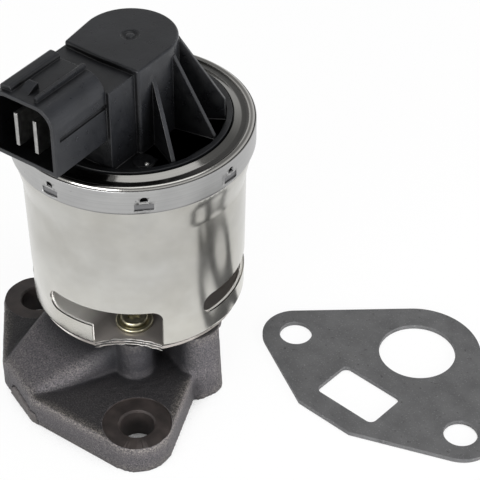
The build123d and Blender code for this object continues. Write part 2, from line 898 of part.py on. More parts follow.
root_r = (tower_r + tower_cavity_r) / 2
root_z = cap_floor_z - 1
rib_profile = (
    (root_r, root_z),
    (rib_foot_r, root_z),
    (rib_foot_r, cap_floor_z + 0.5),
    (rib_head_r, tower_top_z - rib_head_drop),
    (root_r, tower_top_z - rib_head_drop),
)
blunt_rib_profile = (
    (root_r, root_z),
    (rib_foot_r, root_z),
    (rib_foot_r, cap_floor_z + blunt_rib_height),
    (rib_head_r + 0.4, tower_top_z - blunt_rib_drop),
    (root_r, tower_top_z - blunt_rib_drop),
)

with BuildPart() as sensor_cap:
    with BuildSketch(radial_plane(0)):
        with BuildLine():
            Polyline(
                (0, cap_underside_z),
                (spigot_r - spigot_wall, cap_underside_z),
                (spigot_r - spigot_wall, core_top_z),
                (spigot_r, core_top_z),
                (spigot_r, can_top_z),
                (cap_flange_r, can_top_z),
                (cap_flange_r, ring_ledge_z),
                (cap_rim_r, ring_ledge_z),
                (cap_rim_r, cap_floor_z + cap_rim_height),
                (cap_rim_r - cap_rim_wall, cap_floor_z + cap_rim_height),
                (cap_rim_r - cap_rim_wall, cap_floor_z),
                (0, cap_floor_z),
                close=True,
            )
        make_face()
    revolve(axis=valve_axis)
    with BuildSketch(valve_plane.offset(root_z)):
        with Locations((tower_shift, 0)):
            Circle(tower_r)
        tower_corner_y = -tower_front + tower_corner_r
        with Locations(
            (-tower_left + tower_corner_r, tower_corner_y),
            (tower_shift + tower_r - tower_corner_r, tower_corner_y),
        ):
            Circle(tower_corner_r)
        make_hull()
    extrude(amount=tower_top_z - root_z)
    fillet(sensor_cap.faces().sort_by(Axis.Z)[-1].edges(), neck_edge_r)
    with BuildSketch(valve_plane.offset(root_z)):
        with Locations((0, -(neck_front + tower_cavity_r) / 2)):
            Rectangle(2 * neck_half_width, neck_front - tower_cavity_r)
    extrude(amount=neck_top_z - root_z)
    for angle in rib_angles + blunt_rib_angles:
        with BuildSketch(radial_plane(angle)):
            with BuildLine():
                Polyline(*(rib_profile if angle in rib_angles else blunt_rib_profile), close=True)
            make_face()
        extrude(amount=rib_thickness / 2, both=True)
    with BuildSketch(radial_plane(pad_start)):
        with Locations(((pad_inner_r + pad_outer_r) / 2, (root_z + cap_floor_z + pad_height) / 2)):
            Rectangle(pad_outer_r - pad_inner_r, cap_floor_z + pad_height - root_z)
    revolve(axis=valve_axis, revolution_arc=pad_sweep)
    with BuildSketch(valve_plane.offset(cap_floor_z)):
        with PolarLocations(button_circle_r, 1, button_angle):
            Circle(button_r)
    extrude(amount=button_height)

    # Connector shroud with its rails and latch ramp.
    with BuildSketch(front_plane(shroud_front)):
        with Locations((0, shroud_mid_z)):
            shroud_outline(0)
    extrude(amount=neck_front - shroud_front)
    with BuildSketch(front_plane(shroud_front - rail_setback)):
        with Locations((rail_inner_x + thin_rail_width / 2, shroud_top_z)):
            Rectangle(thin_rail_width, 2 * rail_height)
        with Locations((-rail_inner_x - broad_rail_width / 2, shroud_top_z)):
            RectangleRounded(broad_rail_width, 2 * rail_height, rail_height - 0.2)
    extrude(amount=-rail_length)
    with BuildSketch(side_plane(latch_x - latch_width / 2)):
        with BuildLine():
            Polyline(
                (latch_back, shroud_top_z - 0.5),
                (latch_back, shroud_top_z + latch_height),
                (latch_back + 1.2, shroud_top_z + latch_height),
                (latch_back + latch_length, shroud_top_z),
                (latch_back + latch_length, shroud_top_z - 0.5),
                close=True,
            )
        make_face()
    extrude(amount=-latch_width)
    groove_run = shroud_front - side_groove_setback - neck_front
    with BuildSketch(front_plane(shroud_front - side_groove_setback)):
        groove_z = shroud_mid_z + side_groove_rise
        with Locations((-shroud_half_width, groove_z), (shroud_half_width, groove_z)):
            Rectangle(2 * side_groove_depth, side_groove_height)
    extrude(amount=-groove_run, mode=Mode.SUBTRACT)
    with BuildSketch(front_plane(shroud_front)):
        with Locations((0, shroud_mid_z)):
            shroud_outline(shroud_wall)
    extrude(amount=-shroud_depth, mode=Mode.SUBTRACT)

    # Sensor cavity and the seats of the terminals and key blades.
    with BuildSketch(valve_plane.offset(cap_underside_z)):
        Circle(tower_cavity_r)
    extrude(amount=cavity_top_z - cap_underside_z, mode=Mode.SUBTRACT)
    with BuildSketch(front_plane(socket_back)):
        with Locations(*pin_places):
            Rectangle(pin_width + 2 * pin_fit, pin_height + 2 * pin_fit)
    extrude(amount=-(socket_back + board_front_y), mode=Mode.SUBTRACT)
    with BuildSketch(front_plane(socket_back)):
        with Locations(*key_places):
            Rectangle(key_thickness, key_height)
    extrude(amount=-key_root, mode=Mode.SUBTRACT)
sensor_cap.part.label = "sensor_cap"
export_step(sensor_cap.part, "parts/sensor_cap.step")

with BuildPart() as key_blades:
    with BuildSketch(front_plane(shroud_front - key_setback)):
        with Locations(*key_places):
            Rectangle(key_thickness, key_height)
    extrude(amount=-(shroud_depth - key_setback + key_root))
    chamfer(key_blades.faces().group_by(Axis.Y)[0].edges(), 0.2)
key_blades.part.label = "key_blades"
export_step(key_blades.part, "parts/key_blades.step")

with BuildPart() as terminal_pins:
    with BuildSketch(front_plane(socket_back + pin_reach)):
        with Locations(*pin_places):
            Rectangle(pin_width, pin_height)
    extrude(amount=-(socket_back + pin_reach + board_front_y))
    chamfer(terminal_pins.faces().group_by(Axis.Y)[0].edges(), 0.25)
terminal_pins.part.label = "terminal_pins"
export_step(terminal_pins.part, "parts/terminal_pins.step")

# ---------------------------------------------------------------- lift sensor
with BuildPart() as sensor_board:
    with BuildSketch(front_plane(-board_front_y)):
        with Locations((0, (board_bottom_z + board_top_z) / 2)):
            Rectangle(board_width, board_top_z - board_bottom_z)
    extrude(amount=-board_thickness)
sensor_board.part.label = "sensor_board"
export_step(sensor_board.part, "parts/sensor_board.step")

plunger_guide = turned(
    (
        (plunger_r + running_clearance, cap_underside_z - retainer_thickness),
        (retainer_r, cap_underside_z - retainer_thickness),
        (retainer_r, cap_underside_z),
        (plunger_r + running_clearance, cap_underside_z),
    )
)
plunger_guide.part.label = "plunger_guide"
export_step(plunger_guide.part, "parts/plunger_guide.step")

sensor_plunger = turned(
    (
        (0, stem_top_z + plunger_gap),
        (plunger_r - 0.5, stem_top_z + plunger_gap),
        (plunger_r, stem_top_z + plunger_gap + 0.5),
        (plunger_r, carrier_z + plunger_root),
        (0, carrier_z + plunger_root),
    )
)
sensor_plunger.part.label = "sensor_plunger"
export_step(sensor_plunger.part, "parts/sensor_plunger.step")

with BuildPart() as wiper_carrier:
    with BuildSketch(valve_plane.offset(carrier_z)):
        Circle(carrier_r)
        with Locations((0, -carrier_flat - carrier_r)):
            Rectangle(2 * carrier_r, 2 * carrier_r, mode=Mode.SUBTRACT)
    extrude(amount=carrier_height)
    with BuildSketch(valve_plane.offset(carrier_z)):
        Circle(plunger_r)
    extrude(amount=plunger_root, mode=Mode.SUBTRACT)
wiper_carrier.part.label = "wiper_carrier"
export_step(wiper_carrier.part, "parts/wiper_carrier.step")

wiper_top_z = carrier_top_z - 0.4
wiper_tip = -board_back_y - wiper_gap
with BuildPart() as wiper_contact:
    with BuildSketch(side_plane(-wiper_width / 2)):
        with BuildLine():
            Polyline(
                (carrier_flat, wiper_top_z),
                (carrier_flat, wiper_top_z - wiper_drop),
                (carrier_flat + wiper_thickness, wiper_top_z - wiper_drop),
                (carrier_flat + wiper_thickness, wiper_top_z - 2 * wiper_thickness),
                (wiper_tip - wiper_thickness, wiper_top_z - wiper_drop),
                (wiper_tip, wiper_top_z - wiper_drop),
                (carrier_flat + wiper_thickness, wiper_top_z),
                close=True,
            )
        make_face()
    extrude(amount=-wiper_width)
wiper_contact.part.label = "wiper_contact"
export_step(wiper_contact.part, "parts/wiper_contact.step")

sensor_spring = coil(
    carrier_top_z, cavity_top_z, sensor_spring_mean_r, sensor_spring_wire_r, sensor_spring_turns
)
sensor_spring.part.label = "sensor_spring"
export_step(sensor_spring.part, "parts/sensor_spring.step")

plunger_seal = turned(
    (
        (plunger_r + running_clearance, core_top_z - plunger_seal_height),
        (plunger_seal_r, core_top_z - plunger_seal_height),
        (plunger_seal_r, core_top_z),
        (plunger_r + running_clearance, core_top_z),
    )
)
plunger_seal.part.label = "plunger_seal"
export_step(plunger_seal.part, "parts/plunger_seal.step")

# ---------------------------------------------------------------- cap seal and flange gasket
with BuildPart() as cap_seal:
    with BuildSketch(radial_plane(0)):
        with Locations((spigot_r + cap_seal_wire_r, (core_top_z + can_top_z) / 2)):
            Circle(cap_seal_wire_r)
    revolve(axis=valve_axis)
cap_seal.part.label = "cap_seal"
export_step(cap_seal.part, "parts/cap_seal.step")

lay = radians(gasket_turn)
gasket_plane = Plane(origin=(gasket_x, gasket_y, 0), x_dir=(cos(lay), sin(lay), 0), z_dir=(0, 0, 1))
with BuildPart() as flange_gasket:
    with BuildSketch(gasket_plane):
        flange_outline()
    extrude(amount=gasket_thickness)
    with BuildSketch(gasket_plane):
        with Locations(*bolt_places):
            Circle(bolt_hole_d / 2)
        with Locations((inlet_port_u, inlet_port_v)):
            Circle(inlet_port_d / 2 + gasket_port_margin)
        with Locations((outlet_port_u, outlet_port_v)):
            RectangleRounded(
                outlet_port_length + 2 * gasket_port_margin,
                outlet_port_width + 2 * gasket_port_margin,
                outlet_port_corner_r,
            )
    extrude(amount=gasket_thickness, mode=Mode.SUBTRACT)
flange_gasket.part.label = "flange_gasket"
export_step(flange_gasket.part, "parts/flange_gasket.step")
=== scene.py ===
from math import cos, pi, radians, sin, tau

import bmesh
import bpy
import numpy as np
from mathutils import Matrix, Vector


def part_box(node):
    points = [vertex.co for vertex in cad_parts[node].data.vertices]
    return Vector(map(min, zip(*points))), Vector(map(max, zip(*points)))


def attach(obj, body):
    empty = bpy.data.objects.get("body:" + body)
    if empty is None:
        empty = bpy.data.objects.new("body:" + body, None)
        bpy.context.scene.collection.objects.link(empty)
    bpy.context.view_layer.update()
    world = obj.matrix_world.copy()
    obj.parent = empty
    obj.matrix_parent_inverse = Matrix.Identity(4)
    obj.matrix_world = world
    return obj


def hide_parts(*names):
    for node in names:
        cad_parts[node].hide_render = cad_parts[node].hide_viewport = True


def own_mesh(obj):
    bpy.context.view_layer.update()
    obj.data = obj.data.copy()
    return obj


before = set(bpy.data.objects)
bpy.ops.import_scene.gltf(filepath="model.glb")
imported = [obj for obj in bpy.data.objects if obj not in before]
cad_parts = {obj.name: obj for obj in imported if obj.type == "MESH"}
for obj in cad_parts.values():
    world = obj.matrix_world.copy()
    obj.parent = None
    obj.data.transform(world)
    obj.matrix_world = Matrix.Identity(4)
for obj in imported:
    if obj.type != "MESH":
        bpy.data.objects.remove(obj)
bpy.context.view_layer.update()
mm = 0.001
print("stage: frame loaded")


# a new object in the scene
def linkNew(name, data):
    item = bpy.data.objects.new(name, data)
    bpy.context.collection.objects.link(item)
    return item


# camera: place in metres, angles in degrees, lens and sensor in millimetres
shot = {
    "place": (0.2254, -0.2445, 0.3244),
    "heading": -35.53,
    "tilt": -39.77,
    "roll": 0.23,
    "lens": 127.53,
    "sensor": 36.0,
    "farClip": 20.0,
}


def placeCamera():
    heading, tilt, roll = (radians(shot[key]) for key in ("heading", "tilt", "roll"))
    forward = Vector((sin(heading) * cos(tilt), cos(heading) * cos(tilt), sin(tilt)))
    right = Vector((cos(heading), -sin(heading), 0))
    up = right.cross(forward)
    rolledRight = right * cos(roll) + up * sin(roll)
    rolledUp = up * cos(roll) - right * sin(roll)
    turned = Matrix((rolledRight, rolledUp, -forward)).transposed().to_4x4()
    camera = linkNew("camera", bpy.data.cameras.new("camera"))
    camera.data.lens = shot["lens"]
    camera.data.sensor_width = shot["sensor"]
    camera.data.clip_end = shot["farClip"]
    camera.matrix_world = Matrix.Translation(shot["place"]) @ turned
    bpy.context.scene.camera = camera


placeCamera()
bpy.context.scene.view_settings.view_transform = "Standard"

# lamps: area lights as (place, size in metres, power in watts), all aimed at the can's middle;
# the soft ones give no mirror image; the ceiling is darker in reflections, by the ray's rise
studio = {
    "aim": (0.0, 0.02, 0.05),
    "lamps": {
        "overhead": ((0.1, 0.2, 1.3), 0.9, 4.5),
        "front": ((0.1, -0.95, 0.16), 0.7, 12.0),
        "side": ((0.98, 0.05, 0.2), 0.7, 17.0),
    },
    "soft": ("side",),
    "world": 0.34,
    "ceiling": {"from": 0.3, "to": 0.62, "level": 0.35},
}


def lightStudio():
    for name, (place, size, power) in studio["lamps"].items():
        light = bpy.data.lights.new(name, "AREA")
        light.energy = power
        light.size = size
        lamp = linkNew(name, light)
        lamp.visible_glossy = name not in studio["soft"]
        aim = Vector(place) - Vector(studio["aim"])
        turned = aim.to_track_quat("Z", "Y").to_matrix().to_4x4()
        lamp.matrix_world = Matrix.Translation(place) @ turned


lightStudio()

valveLow, valveHigh = (np.array(corner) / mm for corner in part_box("outer_can"))
valveAxis = (valveLow + valveHigh)[:2] / 2


# material tools: a node with its socket values, and a principled material with its tree
def addNode(tree, kind, values=(), **settings):
    node = tree.nodes.new(kind)
    for key, value in settings.items():
        setattr(node, key, value)
    for key, value in dict(values).items():
        node.inputs[key].default_value = value
    return node


def newMaterial(name, **values):
    material = bpy.data.materials.new(name)
    material.use_nodes = True
    shader = material.node_tree.nodes["Principled BSDF"]
    for key, value in values.items():
        shader.inputs[key.replace("_", " ")].default_value = value
    return material, material.node_tree, shader


# gives a socket a link, a number or a colour
def feed(tree, socket, value):
    if isinstance(value, bpy.types.NodeSocket):
        tree.links.new(value, socket)
    else:
        socket.default_value = value if isinstance(value, float) else (*value, 1)


def combine(tree, operation, first, second):
    node = addNode(tree, "ShaderNodeMath", operation=operation)
    feed(tree, node.inputs[0], first)
    feed(tree, node.inputs[1], second)
    return node.outputs[0]


def objectCoords(tree):
    return addNode(tree, "ShaderNodeTexCoord").outputs["Object"]


def objectNoise(tree, scale, detail, roughness=0.5):
    values = {"Scale": scale, "Detail": detail, "Roughness": roughness}
    noise = addNode(tree, "ShaderNodeTexNoise", values)
    tree.links.new(objectCoords(tree), noise.inputs["Vector"])
    return noise.outputs["Fac"]


# a colour ramp through stops of (place, colour)
def ramp(tree, factor, stops):
    node = addNode(tree, "ShaderNodeValToRGB")
    for element, (place, colour) in zip(node.color_ramp.elements, stops, strict=True):
        element.position = place
        element.color = (*colour, 1)
    tree.links.new(factor, node.inputs["Fac"])
    return node.outputs["Color"]


# the colour sockets of the Mix node are its inputs 6 and 7 and its output 2
def mixColour(tree, factor, first, second, blend="MIX"):
    node = addNode(tree, "ShaderNodeMix", data_type="RGBA", blend_type=blend)
    for number, value in ((0, factor), (6, first), (7, second)):
        feed(tree, node.inputs[number], value)
    return node.outputs[2]


# a straight line from (low, lowOut) to (high, highOut), level beyond both ends
def mapRange(tree, factor, low, high, lowOut, highOut):
    values = {"From Min": low, "From Max": high, "To Min": lowOut, "To Max": highOut}
    node = addNode(tree, "ShaderNodeMapRange", values)
    tree.links.new(factor, node.inputs["Value"])
    return node.outputs["Result"]


# a reader of one finish's ranges, each (low, high, share at low, share at high)
def rangesOf(tree, look):
    return lambda factor, name: mapRange(tree, factor, *look["ranges"][name])


def occlusion(tree, reach):
    return addNode(tree, "ShaderNodeAmbientOcclusion", {"Distance": reach}, samples=6).outputs["AO"]


def surfaceMark(tree, name):
    return addNode(tree, "ShaderNodeAttribute", attribute_name=name).outputs["Fac"]


# bumps one on another, each (height socket, strength, depth in metres)
def bump(tree, shader, heights):
    normal = None
    for height, strength, depth in heights:
        node = addNode(tree, "ShaderNodeBump", {"Strength": strength, "Distance": depth})
        tree.links.new(height, node.inputs["Height"])
        if normal:
            tree.links.new(normal, node.inputs["Normal"])
        normal = node.outputs["Normal"]
    tree.links.new(normal, shader.inputs["Normal"])


# a finish's own bumps, each ((noise scale, detail), strength, depth in metres)
def noiseBumps(tree, look):
    return [(objectNoise(tree, *noise), *heights) for noise, *heights in look["bumps"]]


# distance from the valve axis and height above the flange face, in metres
def axisPlace(tree):
    coords = objectCoords(tree)
    centre = (-valveAxis[0] * mm, -valveAxis[1] * mm, 0)
    place = addNode(tree, "ShaderNodeMapping", {"Location": centre})
    flat = addNode(tree, "ShaderNodeVectorMath", {1: (1, 1, 0)}, operation="MULTIPLY")
    reach = addNode(tree, "ShaderNodeVectorMath", operation="LENGTH")
    parts = addNode(tree, "ShaderNodeSeparateXYZ")
    tree.links.new(coords, place.inputs["Vector"])
    tree.links.new(place.outputs["Vector"], flat.inputs[0])
    tree.links.new(flat.outputs["Vector"], reach.inputs[0])
    tree.links.new(coords, parts.inputs["Vector"])
    return reach.outputs["Value"], parts.outputs["Z"]


# rough sand-cast iron: brown to purple grey with bright and dark grains; painted shade darkens the
# flange's top, the hollows, what lies under the can and the sheltered places, a painted highlight
# lightens the ridges, and the broken gate is lighter; the colours are laid on in this order
ironLook = {
    "gloss": 0.22,
    "drift": (60, 3),
    "grain": (2600, 3, 0.65),
    "base": ((0.3, (0.068, 0.064, 0.071)), (0.7, (0.098, 0.091, 0.096))),
    "shelterReach": 26,
    "ranges": {
        # painted shade: the flange's upward faces are darkened, and lose bright grains, as the can
        # shades them
        "flangeTopShade": (0.0, 1.0, 0.0, 0.8),
        "bright": (0.52, 0.68, 0.0, 0.5),
        "brightOnTop": (0.0, 1.0, 1.0, 0.3),
        "dark": (0.48, 0.34, 0.0, 0.7),
        # painted shade in the hollows
        "hollow": (0.1, 1.0, 0.0, 0.75),
        # painted highlight: bright grains on the ridges
        "ridgeHighlight": (-0.35, -1.6, 0.0, 0.6),
        "ridgeGrain": (0.46, 0.62, 0.1, 1.0),
        "gate": (0.6, 0.95, 0.0, 0.75),
        "crackStart": (0.08, 0.3, 0.0, 1.0),
        "crackEnd": (0.5, 0.75, 1.0, 0.0),
        # painted shade on what lies under the can: near the valve axis and above the flange
        "underCanReach": (30.5 * mm, 24.5 * mm, 0.0, 0.8),
        "underCanHeight": (9.2 * mm, 11.5 * mm, 0.0, 1.0),
        # painted shade where ambient occlusion finds the iron sheltered
        "shelterShade": (0.75, 0.35, 0.0, 0.8),
        "roughness": (0.3, 0.7, 0.5, 0.66),
    },
    # painted shade for the flange's top, the hollows, what lies under the can and the sheltered
    # places; painted highlight for the ridges
    "colours": {
        "flangeTopShade": (0.012, 0.0115, 0.012),
        "bright": (0.25, 0.232, 0.225),
        "dark": (0.010, 0.010, 0.012),
        "hollow": (0.012, 0.012, 0.014),
        "ridgeHighlight": (0.27, 0.245, 0.215),
        "gate": (0.125, 0.112, 0.108),
        "crack": (0.014, 0.012, 0.012),
        "underCanShade": (0.021, 0.022, 0.026),
        "shelterShade": (0.011, 0.0105, 0.0115),
    },
    "bumps": (((700, 3), 0.5, 0.0004),),
    "grainBump": (0.8, 0.0003),
}


def castIron():
    material, tree, shader = newMaterial("castIron", Specular_IOR_Level=ironLook["gloss"])
    share = rangesOf(tree, ironLook)
    drift = objectNoise(tree, *ironLook["drift"])
    grain = objectNoise(tree, *ironLook["grain"])
    top, hollow, gate = (surfaceMark(tree, name) for name in ("flangeTopShade", "hollow", "gate"))
    reach, height = axisPlace(tree)
    # painted shade where the can's floor hangs over the casting
    underCanShade = share(reach, "underCanReach"), share(height, "underCanHeight")
    # ambient occlusion darkens the colour: painted shade
    shelter = occlusion(tree, ironLook["shelterReach"] * mm)
    shares = {
        "flangeTopShade": share(top, "flangeTopShade"),
        "bright": combine(tree, "MULTIPLY", share(grain, "bright"), share(top, "brightOnTop")),
        "dark": share(grain, "dark"),
        "hollow": share(hollow, "hollow"),
        "ridgeHighlight": combine(tree, "MULTIPLY", share(hollow, "ridgeHighlight"), share(grain, "ridgeGrain")),
        "gate": share(gate, "gate"),
        "crack": combine(tree, "MULTIPLY", share(gate, "crackStart"), share(gate, "crackEnd")),
        "underCanShade": combine(tree, "MULTIPLY", *underCanShade),
        "shelterShade": share(shelter, "shelterShade"),
    }
    colour = ramp(tree, drift, ironLook["base"])
    for name, overlay in ironLook["colours"].items():
        colour = mixColour(tree, shares[name], colour, overlay)
    tree.links.new(colour, shader.inputs["Base Color"])
    tree.links.new(share(drift, "roughness"), shader.inputs["Roughness"])
    bump(tree, shader, [*noiseBumps(tree, ironLook), (grain, *ironLook["grainBump"])])
    return material


# machined iron: smoother brown faces with fine turning lines round one bolt hole
machinedLook = {
    "metallic": 0.35,
    "rings": {"Scale": 330, "Distortion": 1.5, "Detail": 1},
    "toneShift": (260, 4),
    "base": ((0.35, (0.030, 0.025, 0.024)), (0.7, (0.056, 0.045, 0.042))),
    "ranges": {"roughness": (0.3, 0.7, 0.38, 0.55)},
    "ringBump": (0.12, 0.00005),
    "stainBump": (0.2, 0.0001),
}


def machinedIron(centre):
    material, tree, shader = newMaterial("machinedIron", Metallic=machinedLook["metallic"])
    share = rangesOf(tree, machinedLook)
    place = addNode(tree, "ShaderNodeMapping", {"Location": (-centre[0], -centre[1], 0)})
    rings = addNode(tree, "ShaderNodeTexWave", machinedLook["rings"])
    rings.wave_type = "RINGS"
    rings.rings_direction = "Z"
    tree.links.new(objectCoords(tree), place.inputs["Vector"])
    tree.links.new(place.outputs["Vector"], rings.inputs["Vector"])
    toneShift = objectNoise(tree, *machinedLook["toneShift"])
    tree.links.new(ramp(tree, toneShift, machinedLook["base"]), shader.inputs["Base Color"])
    tree.links.new(share(toneShift, "roughness"), shader.inputs["Roughness"])
    turned = (rings.outputs["Fac"], *machinedLook["ringBump"])
    bump(tree, shader, (turned, (toneShift, *machinedLook["stainBump"])))
    return material


# bright drawn stainless sheet: warm silver with faint blotches and smears, brightened towards its
# foot by a painted sheen;
# the inside and the floor are paler and less metallic, and one half of the floor is darker
canLook = {
    "cloud": (55, 3),
    "sheet": ((0.3, (0.44, 0.43, 0.395)), (0.7, (0.53, 0.525, 0.50))),
    "smear": (150, 3),
    "lining": (0.80, 0.78, 0.74),
    # colour of the floor's darker +x half
    "toneShift": (0.24, 0.222, 0.208),
    "ranges": {
        "inside": (27.95 * mm, 27.75 * mm, 0.0, 1.0),
        "floor": (22.7 * mm, 22.3 * mm, 0.0, 1.0),
        "darkerHalf": ((valveAxis[0] - 4) * mm, (valveAxis[0] + 3) * mm, 0.0, 1.0),
        # painted sheen: the colour brightens towards the can's foot
        "paintedFootSheen": (46 * mm, 27 * mm, 1.0, 1.28),
        "smear": (0.35, 0.65, 0.955, 1.035),
        "metallic": (0.0, 1.0, 1.0, 0.35),
        "roughness": (0.3, 0.7, 0.16, 0.24),
    },
    "bumps": (((40, 2), 0.1, 0.0012), ((900, 2), 0.02, 0.0001)),
}


def canSteel():
    material, tree, shader = newMaterial("canSteel", Metallic=1.0)
    share = rangesOf(tree, canLook)
    cloud = objectNoise(tree, *canLook["cloud"])
    reach, height = axisPlace(tree)
    inside = share(reach, "inside")
    sides = addNode(tree, "ShaderNodeSeparateXYZ")
    tree.links.new(objectCoords(tree), sides.inputs["Vector"])
    # the floor is darker on its +x half
    darkerHalf = share(sides.outputs["X"], "darkerHalf")
    bottom = mixColour(tree, darkerHalf, canLook["lining"], canLook["toneShift"])
    lining = mixColour(tree, share(height, "floor"), canLook["lining"], bottom)
    colour = mixColour(tree, inside, ramp(tree, cloud, canLook["sheet"]), lining)
    # painted sheen towards the foot
    colour = mixColour(tree, 1.0, colour, share(height, "paintedFootSheen"), "MULTIPLY")
    smear = share(objectNoise(tree, *canLook["smear"]), "smear")
    colour = mixColour(tree, 1.0, colour, smear, "MULTIPLY")
    tree.links.new(share(inside, "metallic"), shader.inputs["Metallic"])
    tree.links.new(colour, shader.inputs["Base Color"])
    tree.links.new(share(cloud, "roughness"), shader.inputs["Roughness"])
    bump(tree, shader, noiseBumps(tree, canLook))
    return material


# satin rolled sheet of the crimp ring, millimetres: the rolled lip has its own colour and gloss,
# from these depths under the ring's top, with the dish inside a distance from the valve axis
# darkened by painted shade; the stakes' pads are darker and their holes darkened by painted shade
# inside their distances; streaks run round the ring
ringLook = {
    "cloud": (90, 3),
    "sheet": ((0.3, (0.37, 0.37, 0.37)), (0.7, (0.44, 0.44, 0.435))),
    # the pads are darker, and the holes nearly black with painted shade
    "stakes": ((31.0, 0.08, (0.20, 0.20, 0.205)), (30.62, 0.08, (0.012, 0.012, 0.013))),
    "bandDepths": (1.0, 0.8),
    "bandColour": (0.36, 0.352, 0.335),
    "bandGloss": 0.19,
    "dishReach": (28.75, 0.1),
    # painted shade: the dish inside this reach is darker, for the dark tower it mirrors
    "dishShade": (0.19, 0.187, 0.178),
    "streak": {"Scale": 2200, "Detail": 2},
    "speck": (1500, 2),
    "speckColour": (0.05, 0.05, 0.05),
    "ranges": {
        "streak": (0.3, 0.7, 0.93, 1.05),
        "speck": (0.74, 0.78, 0.0, 0.8),
        "roughness": (0.3, 0.7, 0.27, 0.36),
    },
    "bumps": (((1400, 2), 0.06, 0.0001),),
}


# 1 inside a distance from the valve axis, falling to 0 over a soft edge
def withinReach(tree, reach, limit, soft):
    return mapRange(tree, reach, (limit + soft) * mm, (limit - soft) * mm, 0.0, 1.0)


def ringSteel():
    material, tree, shader = newMaterial("ringSteel", Metallic=1.0)
    share = rangesOf(tree, ringLook)
    cloud = objectNoise(tree, *ringLook["cloud"])
    colour = ramp(tree, cloud, ringLook["sheet"])
    reach, height = axisPlace(tree)
    # darker pads, and holes darkened by painted shade
    for limit, soft, sunkColour in ringLook["stakes"]:
        colour = mixColour(tree, withinReach(tree, reach, limit, soft), colour, sunkColour)
    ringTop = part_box("crimp_ring")[1][2]
    bandLow, bandHigh = (ringTop - depth * mm for depth in ringLook["bandDepths"])
    topShare = mapRange(tree, height, bandLow, bandHigh, 0.0, 1.0)
    # painted shade darkens the dish
    dish = withinReach(tree, reach, *ringLook["dishReach"])
    rolled = mixColour(tree, dish, ringLook["bandColour"], ringLook["dishShade"])
    colour = mixColour(tree, topShare, colour, rolled)
    turning = addNode(tree, "ShaderNodeCombineXYZ")
    tree.links.new(reach, turning.inputs["X"])
    tree.links.new(height, turning.inputs["Y"])
    streak = addNode(tree, "ShaderNodeTexNoise", ringLook["streak"])
    tree.links.new(turning.outputs["Vector"], streak.inputs["Vector"])
    colour = mixColour(tree, 1.0, colour, share(streak.outputs["Fac"], "streak"), "MULTIPLY")
    speck = share(objectNoise(tree, *ringLook["speck"]), "speck")
    colour = mixColour(tree, speck, colour, ringLook["speckColour"])
    tree.links.new(colour, shader.inputs["Base Color"])
    gloss = combine(tree, "MULTIPLY", topShare, ringLook["bandGloss"])
    satin = combine(tree, "SUBTRACT", share(cloud, "roughness"), gloss)
    tree.links.new(satin, shader.inputs["Roughness"])
    bump(tree, shader, noiseBumps(tree, ringLook))
    return material


# glass-filled black moulding: fine matt grain and a faint grey bloom, darkened by painted shade
# where it is sheltered
plasticLook = {
    "gloss": 0.36,
    "bloom": (120, 4),
    "base": ((0.3, (0.0078, 0.0085, 0.0104)), (0.75, (0.0138, 0.0148, 0.0175))),
    # painted shade colour for sheltered places
    "shelterShade": (0.002, 0.0021, 0.0024),
    "shelterReach": 22,
    "mottle": (420, 4, 0.6),
    "ranges": {
        "openness": (0.55, 1.0, 0.0, 1.0),
        "roughness": (0.35, 0.65, 0.27, 0.42),
    },
    "bumps": (((2600, 2), 0.3, 0.00006),),
    "mottleBump": (0.16, 0.0002),
}


def blackPlastic():
    material, tree, shader = newMaterial("blackPlastic", Specular_IOR_Level=plasticLook["gloss"])
    share = rangesOf(tree, plasticLook)
    bloom = ramp(tree, objectNoise(tree, *plasticLook["bloom"]), plasticLook["base"])
    # ambient occlusion darkens the colour: painted shade in crevices and between the ribs
    openness = share(occlusion(tree, plasticLook["shelterReach"] * mm), "openness")
    colour = mixColour(tree, openness, plasticLook["shelterShade"], bloom)
    tree.links.new(colour, shader.inputs["Base Color"])
    mottle = objectNoise(tree, *plasticLook["mottle"])
    tree.links.new(share(mottle, "roughness"), shader.inputs["Roughness"])
    bump(tree, shader, [*noiseBumps(tree, plasticLook), (mottle, *plasticLook["mottleBump"])])
    return material


# plain metals and small finishes: name, colour, roughness, metallic, grain size in 1/m
plainFinishes = {
    "zincYellow": ((0.47, 0.44, 0.32), 0.34, 1.0, 700),
    "tinPlate": ((0.34, 0.34, 0.33), 0.38, 1.0, 900),
    "darkSteel": ((0.26, 0.26, 0.265), 0.42, 1.0, 600),
    "turnedSteel": ((0.50, 0.49, 0.47), 0.3, 1.0, 700),
    "softIron": ((0.36, 0.36, 0.37), 0.4, 1.0, 700),
    "drawnBrass": ((0.68, 0.52, 0.24), 0.3, 1.0, 600),
    "copperWire": ((0.50, 0.22, 0.11), 0.35, 1.0, 1500),
    "springWire": ((0.45, 0.45, 0.46), 0.28, 1.0, 900),
    "boardGreen": ((0.05, 0.16, 0.08), 0.45, 0.0, 800),
    "sealRubber": ((0.022, 0.022, 0.022), 0.6, 0.0, 900),
}
# their shared grain: how dark and light it gets, how far the roughness strays, and its bump
plainGrain = {
    "detail": 3,
    "from": 0.3,
    "to": 0.7,
    "darker": 0.82,
    "lighter": 1.12,
    "smoother": 0.05,
    "rougher": 0.07,
    "bump": (0.08, 0.00008),
}


